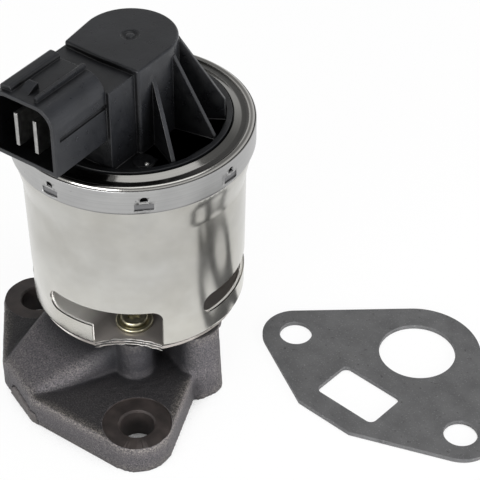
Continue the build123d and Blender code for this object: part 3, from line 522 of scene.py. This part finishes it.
def plainFinish(name):
    colour, roughness, metallic, grainScale = plainFinishes[name]
    material, tree, shader = newMaterial(name, Metallic=metallic)
    grain = objectNoise(tree, grainScale, plainGrain["detail"])
    low, high = plainGrain["from"], plainGrain["to"]
    darker = tuple(plainGrain["darker"] * part for part in colour)
    lighter = tuple(min(1.0, plainGrain["lighter"] * part) for part in colour)
    tinted = ramp(tree, grain, ((low, darker), (high, lighter)))
    tree.links.new(tinted, shader.inputs["Base Color"])
    smoother, rougher = roughness - plainGrain["smoother"], roughness + plainGrain["rougher"]
    tree.links.new(mapRange(tree, grain, low, high, smoother, rougher), shader.inputs["Roughness"])
    bump(tree, shader, ((grain, *plainGrain["bump"]),))
    return material


# pressed graphite sheet: dark grey with light flecks, small pits and scuffs
sheetLook = {
    "gloss": 0.35,
    "drift": (160, 5, 0.6),
    "base": ((0.32, (0.078, 0.078, 0.080)), (0.68, (0.114, 0.114, 0.116))),
    "fleck": (2200, 3),
    "fleckColour": (0.30, 0.30, 0.30),
    "pit": (800, 3),
    "pitColour": (0.03, 0.03, 0.03),
    "ranges": {
        "fleck": (0.60, 0.74, 0.0, 0.4),
        "pit": (0.36, 0.28, 0.0, 0.7),
        "roughness": (0.3, 0.7, 0.5, 0.68),
    },
    "bumps": (((1300, 3), 0.35, 0.0001), ((90, 3), 0.2, 0.0006)),
}


def graphiteSheet():
    material, tree, shader = newMaterial("graphiteSheet", Specular_IOR_Level=sheetLook["gloss"])
    share = rangesOf(tree, sheetLook)
    drift = objectNoise(tree, *sheetLook["drift"])
    colour = ramp(tree, drift, sheetLook["base"])
    for name in ("fleck", "pit"):
        spots = share(objectNoise(tree, *sheetLook[name]), name)
        colour = mixColour(tree, spots, colour, sheetLook[name + "Colour"])
    tree.links.new(colour, shader.inputs["Base Color"])
    tree.links.new(share(drift, "roughness"), shader.inputs["Roughness"])
    bump(tree, shader, noiseBumps(tree, sheetLook))
    return material


finishes = {name: plainFinish(name) for name in plainFinishes}
finishes["castIron"] = castIron()
finishes["canSteel"] = canSteel()
finishes["ringSteel"] = ringSteel()
finishes["blackPlastic"] = blackPlastic()
finishes["graphiteSheet"] = graphiteSheet()
print("stage: materials made")


# one attribute of every item of a collection, as an array with a row for each item
def readRows(items, attribute, width=3, kind=float):
    values = np.empty(len(items) * width, kind)
    items.foreach_get(attribute, values)
    return values.reshape(-1, width)


def readPoints(mesh):
    return readRows(mesh.vertices, "co") / mm


def writePoints(mesh, points):
    mesh.vertices.foreach_set("co", (points * mm).ravel())


# a merged, smooth copy of a CAD node's mesh, with flat faces joined
def mergedCopy(nodeName, joinAngle=0.4, gap=2e-6):
    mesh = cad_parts[nodeName].data.copy()
    work = bmesh.new()
    work.from_mesh(mesh)
    bmesh.ops.remove_doubles(work, verts=work.verts, dist=gap)
    if joinAngle:
        flat = radians(joinAngle)
        bmesh.ops.dissolve_limit(work, angle_limit=flat, verts=work.verts, edges=work.edges)
    work.to_mesh(mesh)
    work.free()
    return mesh


# points closer than a gap in metres are merged, and the faces turned outwards
def closeMesh(mesh, gap=0.0):
    work = bmesh.new()
    work.from_mesh(mesh)
    if gap:
        bmesh.ops.remove_doubles(work, verts=work.verts, dist=gap)
    bmesh.ops.recalc_face_normals(work, faces=work.faces)
    work.to_mesh(mesh)
    work.free()
    return mesh


def joinMeshes(meshes):
    work = bmesh.new()
    for mesh in meshes:
        work.from_mesh(mesh)
    joined = bpy.data.meshes.new("joined")
    work.to_mesh(joined)
    work.free()
    return joined


# puts a finished mesh in the scene on its body, in place of the CAD nodes it stands for
def addPiece(name, mesh, finish, body, *nodes, smoothAngle=34):
    mesh.materials.clear()
    mesh.materials.append(finishes[finish])
    mesh.shade_smooth()
    mesh.set_sharp_from_angle(angle=radians(smoothAngle))
    piece = linkNew(name, mesh)
    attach(piece, body)
    if nodes:
        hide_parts(*nodes)
    return piece


def softenEdges(piece, width, angle=34):
    edge = piece.modifiers.new("edge", "BEVEL")
    edge.width = width * mm
    edge.segments = 2
    edge.limit_method = "ANGLE"
    edge.angle_limit = radians(angle)
    edge.use_clamp_overlap = False
    edge.harden_normals = True
    return piece


def weighNormals(piece):
    weighted = piece.modifiers.new("weighted", "WEIGHTED_NORMAL")
    weighted.keep_sharp = True


# true shading on the upright outer wall: each corner's normal points straight from the valve
# axis where the face is farther out than innerReach mm, leans less than lean and faces outwards
def roundWall(mesh, innerReach=27.9, lean=0.05, facingOut=0.9):
    normals = readRows(mesh.corner_normals, "vector")
    corners = readRows(mesh.loops, "vertex_index", 1, int).ravel()
    sides = readRows(mesh.polygons, "loop_total", 1, int).ravel()
    facing = np.repeat(readRows(mesh.polygons, "normal"), sides, axis=0)
    out = readPoints(mesh)[corners, :2] - valveAxis
    reach = np.linalg.norm(out, axis=1)
    out /= reach[:, None]
    wall = (abs(facing[:, 2]) < lean) & (reach > innerReach)
    wall &= (facing[:, :2] * out).sum(axis=1) > facingOut
    normals[wall, :2] = out[wall]
    normals[wall, 2] = 0
    mesh.normals_split_custom_set(normals)


# pieces whose shape is right already: node, finish, body, edge width in millimetres
dressed = (
    ("outer_can", "canSteel", "valve", 0),
    ("spacer_plate", "canSteel", "valve", 0.08),
    ("pedestal", "darkSteel", "valve", 0),
    ("magnet_case", "darkSteel", "valve", 0),
    ("stem_guide", "turnedSteel", "valve", 0.1),
    ("valve_seat", "turnedSteel", "valve", 0.08),
    ("key_blades", "tinPlate", "valve", 0.1),
    ("terminal_pins", "tinPlate", "valve", 0.05),
    ("flange_gasket", "graphiteSheet", "gasket", 0.12),
    ("pintle", "turnedSteel", "pintle", 0.1),
    ("armature", "softIron", "pintle", 0.1),
)
for nodeName, finish, body, width in dressed:
    piece = addPiece("skin_" + nodeName, mergedCopy(nodeName), finish, body, nodeName)
    if nodeName == "outer_can":
        roundWall(piece.data)
        continue
    if width:
        softenEdges(piece, width)
    weighNormals(piece)
print("stage: pieces dressed")

# casting: millimetres; the bolts lie on a line turned from the x axis by an angle in degrees;
# the gate is a broken-off stub on the front side, its ragged top given along the bolt line
casting = {
    "turn": -22.5,
    "boltReach": 28.5,
    "holeRadius": 4.5,
    "holeChamfer": 0.45,
    "spotHeight": 8.3,
    "spotRadius": {"front": 9.0, "back": 8.9},
    "flangeHeight": 8.8,
    "plugFoot": 0.05,
    "plugSpare": 0.05,
    "cutterFoot": -1,
    "cutterTop": 22,
    "voxel": 0.42,
    "passes": 15,
    "ripple": 0.035,
    "topTilt": (0.75, 0.97),
    "topHeight": (9.1, 10.2),
    "gateAlong": (-6.4, -5.7, -4.2, -2.6, 0.3, 3.2, 5.5, 7.2, 7.9, 8.2),
    "gateHeight": (0.2, 3.2, 4.6, 5.2, 4.4, 4.4, 3.7, 3.6, 2.4, 0.2),
    "gateFront": -17.0,
    "gateEdge": (-0.2, 0.7),
    "gateFoot": 0.2,
    "gateRise": 0.32,
    "gateCrack": 0.55,
    "sharpAngle": 42,
}
# where the casting is machined or must keep its form: heights, reaches and the ports' places along
# and across the bolt line, in mm; a pair is where the freedom to move starts and is full
heldFaces = {
    "foot": (0.5, 1.6),
    "crown": (-19.7, -18.9),
    "chamber": (12.4, 13.2),
    "chamberFloor": 10.5,
    "portTop": (6.8, 8.0),
    "inlet": (1.0, 17.0),
    "inletEdge": (10.6, 11.4),
    "outlet": (-0.4, -6.8),
    "outletHalf": (9.3, 6.0),
    "outletEdge": (0.4, 1.2),
}
boltLine = Vector((cos(radians(casting["turn"])), sin(radians(casting["turn"]))))
boltPlaces = {
    "front": boltLine * casting["boltReach"],
    "back": boltLine * -casting["boltReach"],
}
finishes["machinedIron"] = machinedIron([part * mm for part in boltPlaces["front"]])


# a closed solid of revolution: each (radius, height) point carried round an upright axis
def latheMesh(name, profile, centre, finish, steps=128, gap=1e-6):
    radius, height = np.array(profile, float).T
    angle = np.linspace(0, tau, steps, endpoint=False)
    points = np.empty((steps, len(radius), 3))
    points[..., 0] = centre[0] + np.outer(np.cos(angle), radius)
    points[..., 1] = centre[1] + np.outer(np.sin(angle), radius)
    points[..., 2] = height
    here = np.arange(steps * len(radius)).reshape(steps, -1)
    after = np.roll(here, -1, axis=0)
    quads = np.stack((here[:, :-1], after[:, :-1], after[:, 1:], here[:, 1:]), axis=-1)
    mesh = bpy.data.meshes.new(name)
    mesh.from_pydata((points * mm).reshape(-1, 3), [], quads.reshape(-1, 4))
    mesh.materials.append(finishes[finish])
    return closeMesh(mesh, gap)


# crimp ring: the stamped skirt of the CAD ring up to the cut, and above it the rolled edge, bead,
# groove and raised inner band; (distance from the valve axis, depth under the ring's top) in mm,
# the bead as (distance, depth, radius) over an arc from and to these angles in radians
rolledRing = {
    "cut": 2.65,
    "overlap": 0.02,
    "wall": (30.3, 31.2),
    "edge": ((31.2, 1.08), (31.16, 0.94), (31.07, 0.87), (30.95, 0.9), (30.84, 1.0)),
    "bead": (29.95, 1.0, 0.86),
    "beadArc": (0.12, pi - 0.1, 14),
    "dish": ((28.95, 0.94), (28.7, 0.9), (27.75, 0.88), (27.5, 0.86), (27.3, 0.78), (25.82, 0.14)),
    "lip": ((25.72, 0.08), (25.62, 0.12), (25.6, 0.22), (25.6, 1.0), (30.3, 1.0)),
    "steps": 256,
}


# the CAD ring's skirt below a height in mm, closed along its cut
def stampedSkirt(cut):
    work = bmesh.new()
    work.from_mesh(mergedCopy("crimp_ring"))
    plane = {"plane_co": (0, 0, cut * mm), "plane_no": (0, 0, 1), "clear_outer": True}
    bmesh.ops.bisect_plane(work, geom=work.verts[:] + work.edges[:] + work.faces[:], **plane)
    bmesh.ops.bridge_loops(work, edges=[edge for edge in work.edges if edge.is_boundary])
    skirt = bpy.data.meshes.new("skirt")
    work.to_mesh(skirt)
    work.free()
    return skirt


def rollRing():
    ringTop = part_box("crimp_ring")[1][2] / mm
    skirt = stampedSkirt(ringTop - rolledRing["cut"])
    reach, depth, radius = rolledRing["bead"]
    turns = np.linspace(*rolledRing["beadArc"])
    bead = [(reach + radius * cos(turn), depth - radius * sin(turn)) for turn in turns]
    low = rolledRing["cut"] + rolledRing["overlap"]
    inner, outer = rolledRing["wall"]
    line = [(inner, low), (outer, low), *rolledRing["edge"], *bead]
    line += [*rolledRing["dish"], *rolledRing["lip"], (inner, low)]
    profile = [(reach, ringTop - depth) for reach, depth in line]
    top = latheMesh("rolled", profile, valveAxis, "ringSteel", rolledRing["steps"])
    ring = joinMeshes([skirt, top])
    weighNormals(addPiece("skin_crimp_ring", ring, "ringSteel", "valve", "crimp_ring"))
    print("stage: ring rolled")


rollRing()


# the mesh as its modifiers leave it; the holder object is taken away
def bakeModifiers(holder):
    bpy.context.view_layer.update()
    shaped = holder.evaluated_get(bpy.context.evaluated_depsgraph_get())
    mesh = bpy.data.meshes.new_from_object(shaped)
    bpy.data.objects.remove(holder)
    return mesh


# the mesh less each cutter, worked out exactly; a cut face takes its cutter's finish on request
def cutMesh(mesh, cutters, transfer=True):
    holder = linkNew("holder", mesh)
    tools = [linkNew("holder", cutter) for cutter in cutters]
    for tool in tools:
        cut = holder.modifiers.new("cut", "BOOLEAN")
        cut.object = tool
        cut.operation = "DIFFERENCE"
        cut.solver = "EXACT"
        cut.material_mode = "TRANSFER" if transfer else "INDEX"
    shaped = bakeModifiers(holder)
    for tool in tools:
        bpy.data.objects.remove(tool)
    return shaped


# 0 at low and 1 at high; between them part squared x (3 - 2 x part)
def smoothStep(value, low, high):
    part = np.clip((value - low) / (high - low), 0, 1)
    return part * part * (3 - 2 * part)


# distances along and across the bolt line, in mm
def boltFrame(points):
    x, y = points.T[:2]
    return x * boltLine.x + y * boltLine.y, y * boltLine.x - x * boltLine.y


# how freely each point may move: 0 at machined faces and ports, 1 on the cast skin
def castingFreedom(points):
    x, y, z = points.T
    along, across = boltFrame(points)
    freedom = smoothStep(z, *heldFaces["foot"]) * smoothStep(-z, *heldFaces["crown"])
    chamber = np.hypot(x - valveAxis[0], y - valveAxis[1])
    above = z > heldFaces["chamberFloor"]
    inside = 1 - smoothStep(chamber, *heldFaces["chamber"]) * above - ~above
    freedom *= 1 - np.clip(inside, 0, 1)
    inletAlong, inletAcross = heldFaces["inlet"]
    outletAlong, outletAcross = heldFaces["outlet"]
    halfAlong, halfAcross = heldFaces["outletHalf"]
    inletReach = np.hypot(along - inletAlong, across - inletAcross)
    outletReach = np.maximum(
        abs(along - outletAlong) - halfAlong, abs(across - outletAcross) - halfAcross
    )
    lowPart = 1 - smoothStep(z, *heldFaces["portTop"])
    freedom *= 1 - lowPart * (1 - smoothStep(inletReach, *heldFaces["inletEdge"]))
    freedom *= 1 - lowPart * (1 - smoothStep(outletReach, *heldFaces["outletEdge"]))
    return freedom


# how far a point is inside the broken-off casting gate: 1 below a ragged line on the front side
def gateShare(points):
    along, across = boltFrame(points)
    nowhere = {"left": -9, "right": -9}
    line = np.interp(along, casting["gateAlong"], casting["gateHeight"], **nowhere)
    below = smoothStep(line - points[:, 2], *casting["gateEdge"])
    return below * (across < casting["gateFront"])


# the sum of the values of each point's neighbours along the edges, and how many there are
def neighbourSum(values, edges):
    first, second = edges.T
    fromSecond = np.bincount(first, values[second], len(values))
    return fromSecond + np.bincount(second, values[first], len(values))


def neighbourCount(points, edges):
    return np.bincount(edges.ravel(), minlength=len(points))


# each pass moves a point half way to the mean of its neighbours, times its freedom
def relax(points, edges, freedom, passes):
    count = neighbourCount(points, edges)[:, None]
    for step in range(passes):
        total = np.stack([neighbourSum(column, edges) for column in points.T], axis=1)
        points = points + 0.5 * freedom[:, None] * (total / count - points)
    return points


# how hollow the skin is: (mean of the neighbours - point) along the normal, in units of 0.01 mm,
# then spread by passes that move each value a part of the way to the mean of its neighbours
def hollowness(points, normals, edges, unit=0.01, passes=40, pace=0.6):
    count = neighbourCount(points, edges)
    near = np.stack([neighbourSum(column, edges) for column in points.T], axis=1)
    hollow = ((near / count[:, None] - points) * normals).sum(axis=1) / unit
    for step in range(passes):
        hollow += pace * (neighbourSum(hollow, edges) / count - hollow)
    return hollow


# a rough skin: the sum of sine waves in seeded random directions, 1.5 to 6 mm long
skinWaves = {"seed": 4, "count": 24, "shortest": 1.5, "longest": 6.0, "divisor": 5}


def ripple(points):
    random = np.random.default_rng(skinWaves["seed"])
    height = np.zeros(len(points))
    for wave in range(skinWaves["count"]):
        direction = random.normal(size=3)
        length = random.uniform(skinWaves["shortest"], skinWaves["longest"])
        direction *= tau / length / np.linalg.norm(direction)
        height += np.sin(points @ direction + random.uniform(0, tau))
    return height / skinWaves["divisor"]


def writeMark(mesh, name, values):
    mesh.attributes.new(name, "FLOAT", "POINT").data.foreach_set("value", values)


# at each bolt, a plug that fills the CAD hole and a cutter for the machined hole and its face
def boltTools():
    plugs, cutters = [], []
    face, hole, chamfer = (casting[key] for key in ("spotHeight", "holeRadius", "holeChamfer"))
    foot, top = casting["cutterFoot"], casting["cutterTop"]
    low, high = casting["plugFoot"], casting["flangeHeight"]
    for side, place in boltPlaces.items():
        spot = casting["spotRadius"][side]
        wide = spot + casting["plugSpare"]
        plug = ((0, low), (wide, low), (wide, high), (0, high))
        plugs.append(latheMesh("plug", plug, place, "castIron"))
        cutter = (
            (0, foot), (hole, foot), (hole, face - chamfer), (hole + chamfer, face),
            (spot, face), (spot, top), (0, top),
        )
        cutters.append(latheMesh("cutter", cutter, place, "machinedIron"))
    return plugs, cutters


def castBody():
    plugs, cutters = boltTools()
    joined = joinMeshes([mergedCopy("valve_body", 0)] + plugs)
    joined.materials.append(finishes["castIron"])
    holder = linkNew("holder", joined)
    remesh = holder.modifiers.new("remesh", "REMESH")
    remesh.mode = "VOXEL"
    remesh.voxel_size = casting["voxel"] * mm
    mesh = bakeModifiers(holder)
    edges = readRows(mesh.edges, "vertices", 2, int)
    points = readPoints(mesh)
    freedom = castingFreedom(points)
    points = relax(points, edges, freedom, casting["passes"])
    writePoints(mesh, points)
    normals = readRows(mesh.vertices, "normal")
    # a mask of the flange's upward faces, darkened by painted shade in the iron's colour
    flangeTopShade = smoothStep(normals[:, 2], *casting["topTilt"])
    flangeTopShade *= 1 - smoothStep(points[:, 2], *casting["topHeight"])
    # the hollowness: painted shade in the hollows and a painted highlight on the ridges in the
    # iron's colour
    writeMark(mesh, "hollow", hollowness(points, normals, edges))
    writeMark(mesh, "flangeTopShade", flangeTopShade)
    points += normals * (casting["ripple"] * freedom * ripple(points))[:, None]
    gate = gateShare(points)
    writeMark(mesh, "gate", gate)
    lift = casting["gateRise"] * gate - casting["gateCrack"] * 4 * gate * (1 - gate)
    sideways = normals * (1, 1, 0)
    points += sideways * (lift * (points[:, 2] > casting["gateFoot"]))[:, None]
    low, high = (np.array(corner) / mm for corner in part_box("valve_body"))
    writePoints(mesh, np.clip(points, low, high))
    mesh.materials.clear()
    mesh.materials.append(finishes["castIron"])
    return cutMesh(mesh, cutters)


def addCasting():
    mesh = castBody()
    mesh.shade_smooth()
    mesh.set_sharp_from_angle(angle=radians(casting["sharpAngle"]))
    body = linkNew("skin_valve_body", mesh)
    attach(body, "valve")
    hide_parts("valve_body")
    print("stage: casting made,", len(mesh.polygons), "faces")


addCasting()

# can screws and washers: (radius, height) in mm from each screw's axis; the recess has six lobes
# and is (radius, lobe, low, high); the circle of screws is (radius, angle in degrees, count)
canScrews = {
    "circle": (18.0, -56.0, 4),
    "screw": (
        (0, 14.1), (2.5, 14.1), (2.5, 23.15), (3.3, 23.15), (3.55, 23.4), (3.62, 23.75),
        (3.6, 24.1), (3.5, 24.4), (3.3, 24.58), (2.95, 24.64), (2.7, 24.56), (2.5, 24.42),
        (0, 24.36),
    ),
    "washer": (
        (2.52, 22.21), (4.55, 22.21), (4.82, 22.3), (4.92, 22.5), (4.92, 23.05), (4.82, 23.3),
        (4.5, 23.42), (4.1, 23.4), (3.7, 23.2), (2.52, 23.14), (2.52, 22.21),
    ),
    "recess": (1.7, 0.34, 23.3, 25.0),
    "steps": 96,
    "edge": 0.06,
    "screwSharp": 50,
    "washerSharp": 60,
}


# a lobed prism, radius + lobe x cos(lobes x angle): rings of points at two heights, closed by fans
# of faces round their middles
def lobedMesh(centre, radius, lobe, low, high, lobes=6, steps=72):
    angle = np.linspace(0, tau, steps, endpoint=False)
    reach = radius + lobe * np.cos(lobes * angle)
    ring = np.stack((centre[0] + reach * np.cos(angle), centre[1] + reach * np.sin(angle)), axis=1)
    layers = [np.column_stack((ring, np.full(steps, height))) for height in (low, high)]
    points = np.concatenate(layers + [[(*centre, low)], [(*centre, high)]])
    here = np.arange(steps)
    after = np.roll(here, -1)
    middle = np.full(steps, 2 * steps)
    sides = np.column_stack((here, after, after + steps, here + steps)).tolist()
    floor = np.column_stack((after, here, middle)).tolist()
    roof = np.column_stack((here + steps, after + steps, middle + 1)).tolist()
    mesh = bpy.data.meshes.new("lobed")
    mesh.from_pydata(points * mm, [], sides + floor + roof)
    return mesh


def addScrews():
    reach, turn, count = canScrews["circle"]
    angles = [radians(turn + 360 * step / count) for step in range(count)]
    places = [valveAxis + reach * np.array((cos(angle), sin(angle))) for angle in angles]

    def turnAll(name):
        steps = canScrews["steps"]
        profile = canScrews[name]
        return joinMeshes([latheMesh(name, profile, place, "zincYellow", steps) for place in places])

    screws, washers = turnAll("screw"), turnAll("washer")
    recesses = joinMeshes([lobedMesh(place, *canScrews["recess"]) for place in places])
    screws = cutMesh(screws, [recesses], False)
    sharp = canScrews["screwSharp"]
    piece = addPiece(
        "skin_can_screws", screws, "zincYellow", "valve", "can_screws", smoothAngle=sharp
    )
    weighNormals(softenEdges(piece, canScrews["edge"], angle=sharp))
    sharp = canScrews["washerSharp"]
    piece = addPiece(
        "skin_screw_washers", washers, "zincYellow", "valve", "screw_washers", smoothAngle=sharp
    )
    weighNormals(piece)
    print("stage: screws made")


addScrews()

# burrs along the cut notches of the can floor and the plate under it: (height, radius, finish) of
# each line in mm, on round notches whose centres lie at these angles from the valve axis; the dark
# lines between the bright ones are painted shade in the gaps between the sheets; a line wanders by a
# wave in mm, this much outwards and upwards
notchBurrs = {
    "centreReach": 45.95,
    "angles": (-57.9, 122.1),
    "radius": 21.25,
    "spread": 24.5,
    # the sealRubber lines are dark lines of painted shade between the bright edges
    "lines": (
        (22.12, 0.13, "turnedSteel"), (21.72, 0.18, "sealRubber"), (21.34, 0.12, "turnedSteel"),
        (20.9, 0.18, "sealRubber"), (20.36, 0.14, "turnedSteel"),
    ),
    "proud": 0.02,
    "wave": 0.1,
    "outwards": 0.35,
    "upwards": 0.5,
    "waveRates": (9, 60),
    "thinnest": 0.002,
    "steps": 120,
    "sides": 8,
    "sharp": 80,
    "seed": 11,
}


# a wandering line: the sum of three sines of the angle along the arc, with seeded rates and starts
def wander(along, random):
    rates = notchBurrs["waveRates"]
    return sum(np.sin(along * random.uniform(*rates) + random.uniform(0, tau)) for wave in range(3))


# a small circle carried along an arc whose radius and height wander, thinner towards both ends
def burrMesh(angle, height, radius, random):
    towards = np.array((cos(radians(angle)), sin(radians(angle))))
    centre = valveAxis + notchBurrs["centreReach"] * towards
    spread = radians(notchBurrs["spread"])
    along = np.linspace(-spread, spread, notchBurrs["steps"])
    turn = radians(angle + 180) + along
    outwards, upwards = (wander(along, random) for axis in range(2))
    thick = radius * np.sqrt(np.clip(1 - (along / spread) ** 6, notchBurrs["thinnest"], 1))
    around = np.linspace(0, tau, notchBurrs["sides"], endpoint=False)
    stray = notchBurrs["wave"] * notchBurrs["outwards"] * outwards
    reach = notchBurrs["radius"] + notchBurrs["proud"] + stray
    rise = height + notchBurrs["wave"] * notchBurrs["upwards"] * upwards
    out = reach[:, None] + thick[:, None] * np.cos(around)
    points = np.stack((
        centre[0] + out * np.cos(turn)[:, None],
        centre[1] + out * np.sin(turn)[:, None],
        rise[:, None] + thick[:, None] * np.sin(around),
    ), axis=-1)
    here = np.arange(out.size).reshape(out.shape)
    after = np.roll(here, -1, axis=1)
    quads = np.stack((here[:-1], here[1:], after[1:], after[:-1]), axis=-1).reshape(-1, 4)
    caps = [here[0].tolist(), here[-1][::-1].tolist()]
    mesh = bpy.data.meshes.new("burr")
    mesh.from_pydata((points * mm).reshape(-1, 3), [], quads.tolist() + caps)
    return closeMesh(mesh)


def addBurrs():
    random = np.random.default_rng(notchBurrs["seed"])
    sharp = notchBurrs["sharp"]
    for number, (height, radius, finish) in enumerate(notchBurrs["lines"]):
        arcs = [burrMesh(angle, height, radius, random) for angle in notchBurrs["angles"]]
        addPiece(f"notch_burr_{number}", joinMeshes(arcs), finish, "valve", smoothAngle=sharp)
    print("stage: burrs made")


addBurrs()

# sensor cap: a gate mark in the tower's top as (radius, height) in mm, shifted from the valve axis,
# and a rivet on the round button as (radius, height above the button)
capMarks = {
    "gateShift": (0.6, -0.1),
    "gate": (
        (0, 99.9), (0.6, 99.96), (1.0, 99.88), (1.3, 99.5), (1.8, 99.5), (2.1, 99.65),
        (2.35, 100.05), (2.35, 101), (0, 101),
    ),
    "gateSteps": 64,
    "rivet": ((0, 0.46), (0.3, 0.42), (0.52, 0.26), (0.62, 0), (0.62, -0.3), (0, -0.3)),
    "rivetPlace": (17.45, 8.0),
    "rivetSteps": 32,
    "buttonTop": 76.5,
    "edge": 0.16,
}


def addCap():
    place = valveAxis + np.array(capMarks["gateShift"])
    gate = latheMesh("gate", capMarks["gate"], place, "blackPlastic", capMarks["gateSteps"])
    mesh = cutMesh(mergedCopy("sensor_cap"), [gate], False)
    piece = addPiece("skin_sensor_cap", mesh, "blackPlastic", "valve", "sensor_cap")
    weighNormals(softenEdges(piece, capMarks["edge"]))
    profile = [(reach, capMarks["buttonTop"] + rise) for reach, rise in capMarks["rivet"]]
    steps = capMarks["rivetSteps"]
    rivet = latheMesh("rivet", profile, capMarks["rivetPlace"], "tinPlate", steps)
    addPiece("cap_rivet", rivet, "tinPlate", "valve")
    print("stage: cap made")


addCap()

# sealed inner pieces keep their CAD mesh and take a finish
innerFinishes = {
    "armature_sleeve": "drawnBrass",
    "fixed_core": "softIron",
    "bobbin": "blackPlastic",
    "coil_winding": "copperWire",
    "sensor_board": "boardGreen",
    "plunger_guide": "blackPlastic",
    "plunger_seal": "sealRubber",
    "cap_seal": "sealRubber",
    "retainer_clip": "springWire",
    "sensor_plunger": "blackPlastic",
    "wiper_carrier": "blackPlastic",
    "wiper_contact": "tinPlate",
}
for nodeName, finish in innerFinishes.items():
    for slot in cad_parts[nodeName].material_slots:
        slot.material = finishes[finish]

# springs: joint, height of the fixed upper end and free length in mm, and the joint's travel in mm;
# each keeps its CAD shape, on a mesh of its own
springs = {
    "return_spring": ("pintle_lift", 59.0, 15.0, 3.5),
    "sensor_spring": ("plunger_follow", 96.5, 10.5, 3.5),
}
for nodeName, (joint, fixedEnd, length, travel) in springs.items():
    piece = addPiece("skin_" + nodeName, mergedCopy(nodeName, 0), "springWire", "valve", nodeName)
    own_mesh(piece)
print("stage: inner pieces finished")

# floor, in metres: white where the camera or a mirror sees it, paper as light falls on it; both fade
# where it is hemmed in closer than the shelter distance, as inside a bolt hole, the paper's colour
# darkening there as painted shadow
ground = {
    "half": 1.6,
    "white": 0.95,
    "glow": 0.93,
    # share of white left in the painted shadow
    "dark": 0.12,
    "roughness": 0.9,
    "shelter": 0.012,
    "glowFade": (0.28, 0.40),
    "paperShade": (0.2, 0.40),
}


def layFloor():
    half = ground["half"]
    corners = [(-half, -half, 0), (half, -half, 0), (half, half, 0), (-half, half, 0)]
    mesh = bpy.data.meshes.new("floor")
    mesh.from_pydata(corners, [], [(0, 1, 2, 3)])
    floor = linkNew("floor", mesh)
    material, tree, shader = newMaterial("floorPaper", Roughness=ground["roughness"])
    rays = addNode(tree, "ShaderNodeLightPath").outputs
    seen = combine(tree, "MAXIMUM", rays["Is Camera Ray"], rays["Is Glossy Ray"])
    shelter = occlusion(tree, ground["shelter"])
    openness = mapRange(tree, shelter, *ground["glowFade"], 0.0, ground["glow"])
    white = ground["white"]
    # painted shadow: the paper's colour darkens where ambient occlusion finds it hemmed in
    paper = mapRange(tree, shelter, *ground["paperShade"], ground["dark"] * white, white)
    tree.links.new(paper, shader.inputs["Base Color"])
    blend = addNode(tree, "ShaderNodeMixShader")
    glow = addNode(tree, "ShaderNodeEmission", {"Color": (1, 1, 1, 1), "Strength": 1.0})
    tree.links.new(combine(tree, "MULTIPLY", seen, openness), blend.inputs["Fac"])
    tree.links.new(shader.outputs["BSDF"], blend.inputs[1])
    tree.links.new(glow.outputs["Emission"], blend.inputs[2])
    tree.links.new(blend.outputs["Shader"], tree.nodes["Material Output"].inputs["Surface"])
    mesh.materials.append(material)


# world: white to the camera, white with a darker ceiling to mirrors and glass, plain grey as light
def fillWorld():
    world = bpy.data.worlds.new("studio")
    bpy.context.scene.world = world
    world.use_nodes = True
    tree = world.node_tree
    background = tree.nodes["Background"]
    rays = addNode(tree, "ShaderNodeLightPath").outputs
    sides = addNode(tree, "ShaderNodeSeparateXYZ")
    towards = addNode(tree, "ShaderNodeTexCoord").outputs["Generated"]
    tree.links.new(towards, sides.inputs["Vector"])
    low, high, level = (studio["ceiling"][key] for key in ("from", "to", "level"))
    sky = mapRange(tree, sides.outputs["Z"], low, high, 1.0, level)
    mirrored = combine(tree, "MAXIMUM", rays["Is Glossy Ray"], rays["Is Transmission Ray"])
    room = combine(tree, "MULTIPLY", mirrored, sky)
    seen = combine(tree, "MAXIMUM", rays["Is Camera Ray"], room)
    strength = combine(tree, "MAXIMUM", seen, studio["world"])
    tree.links.new(strength, background.inputs["Strength"])
    background.inputs["Color"].default_value = (1, 1, 1, 1)


layFloor()
fillWorld()
print("stage: floor and world")
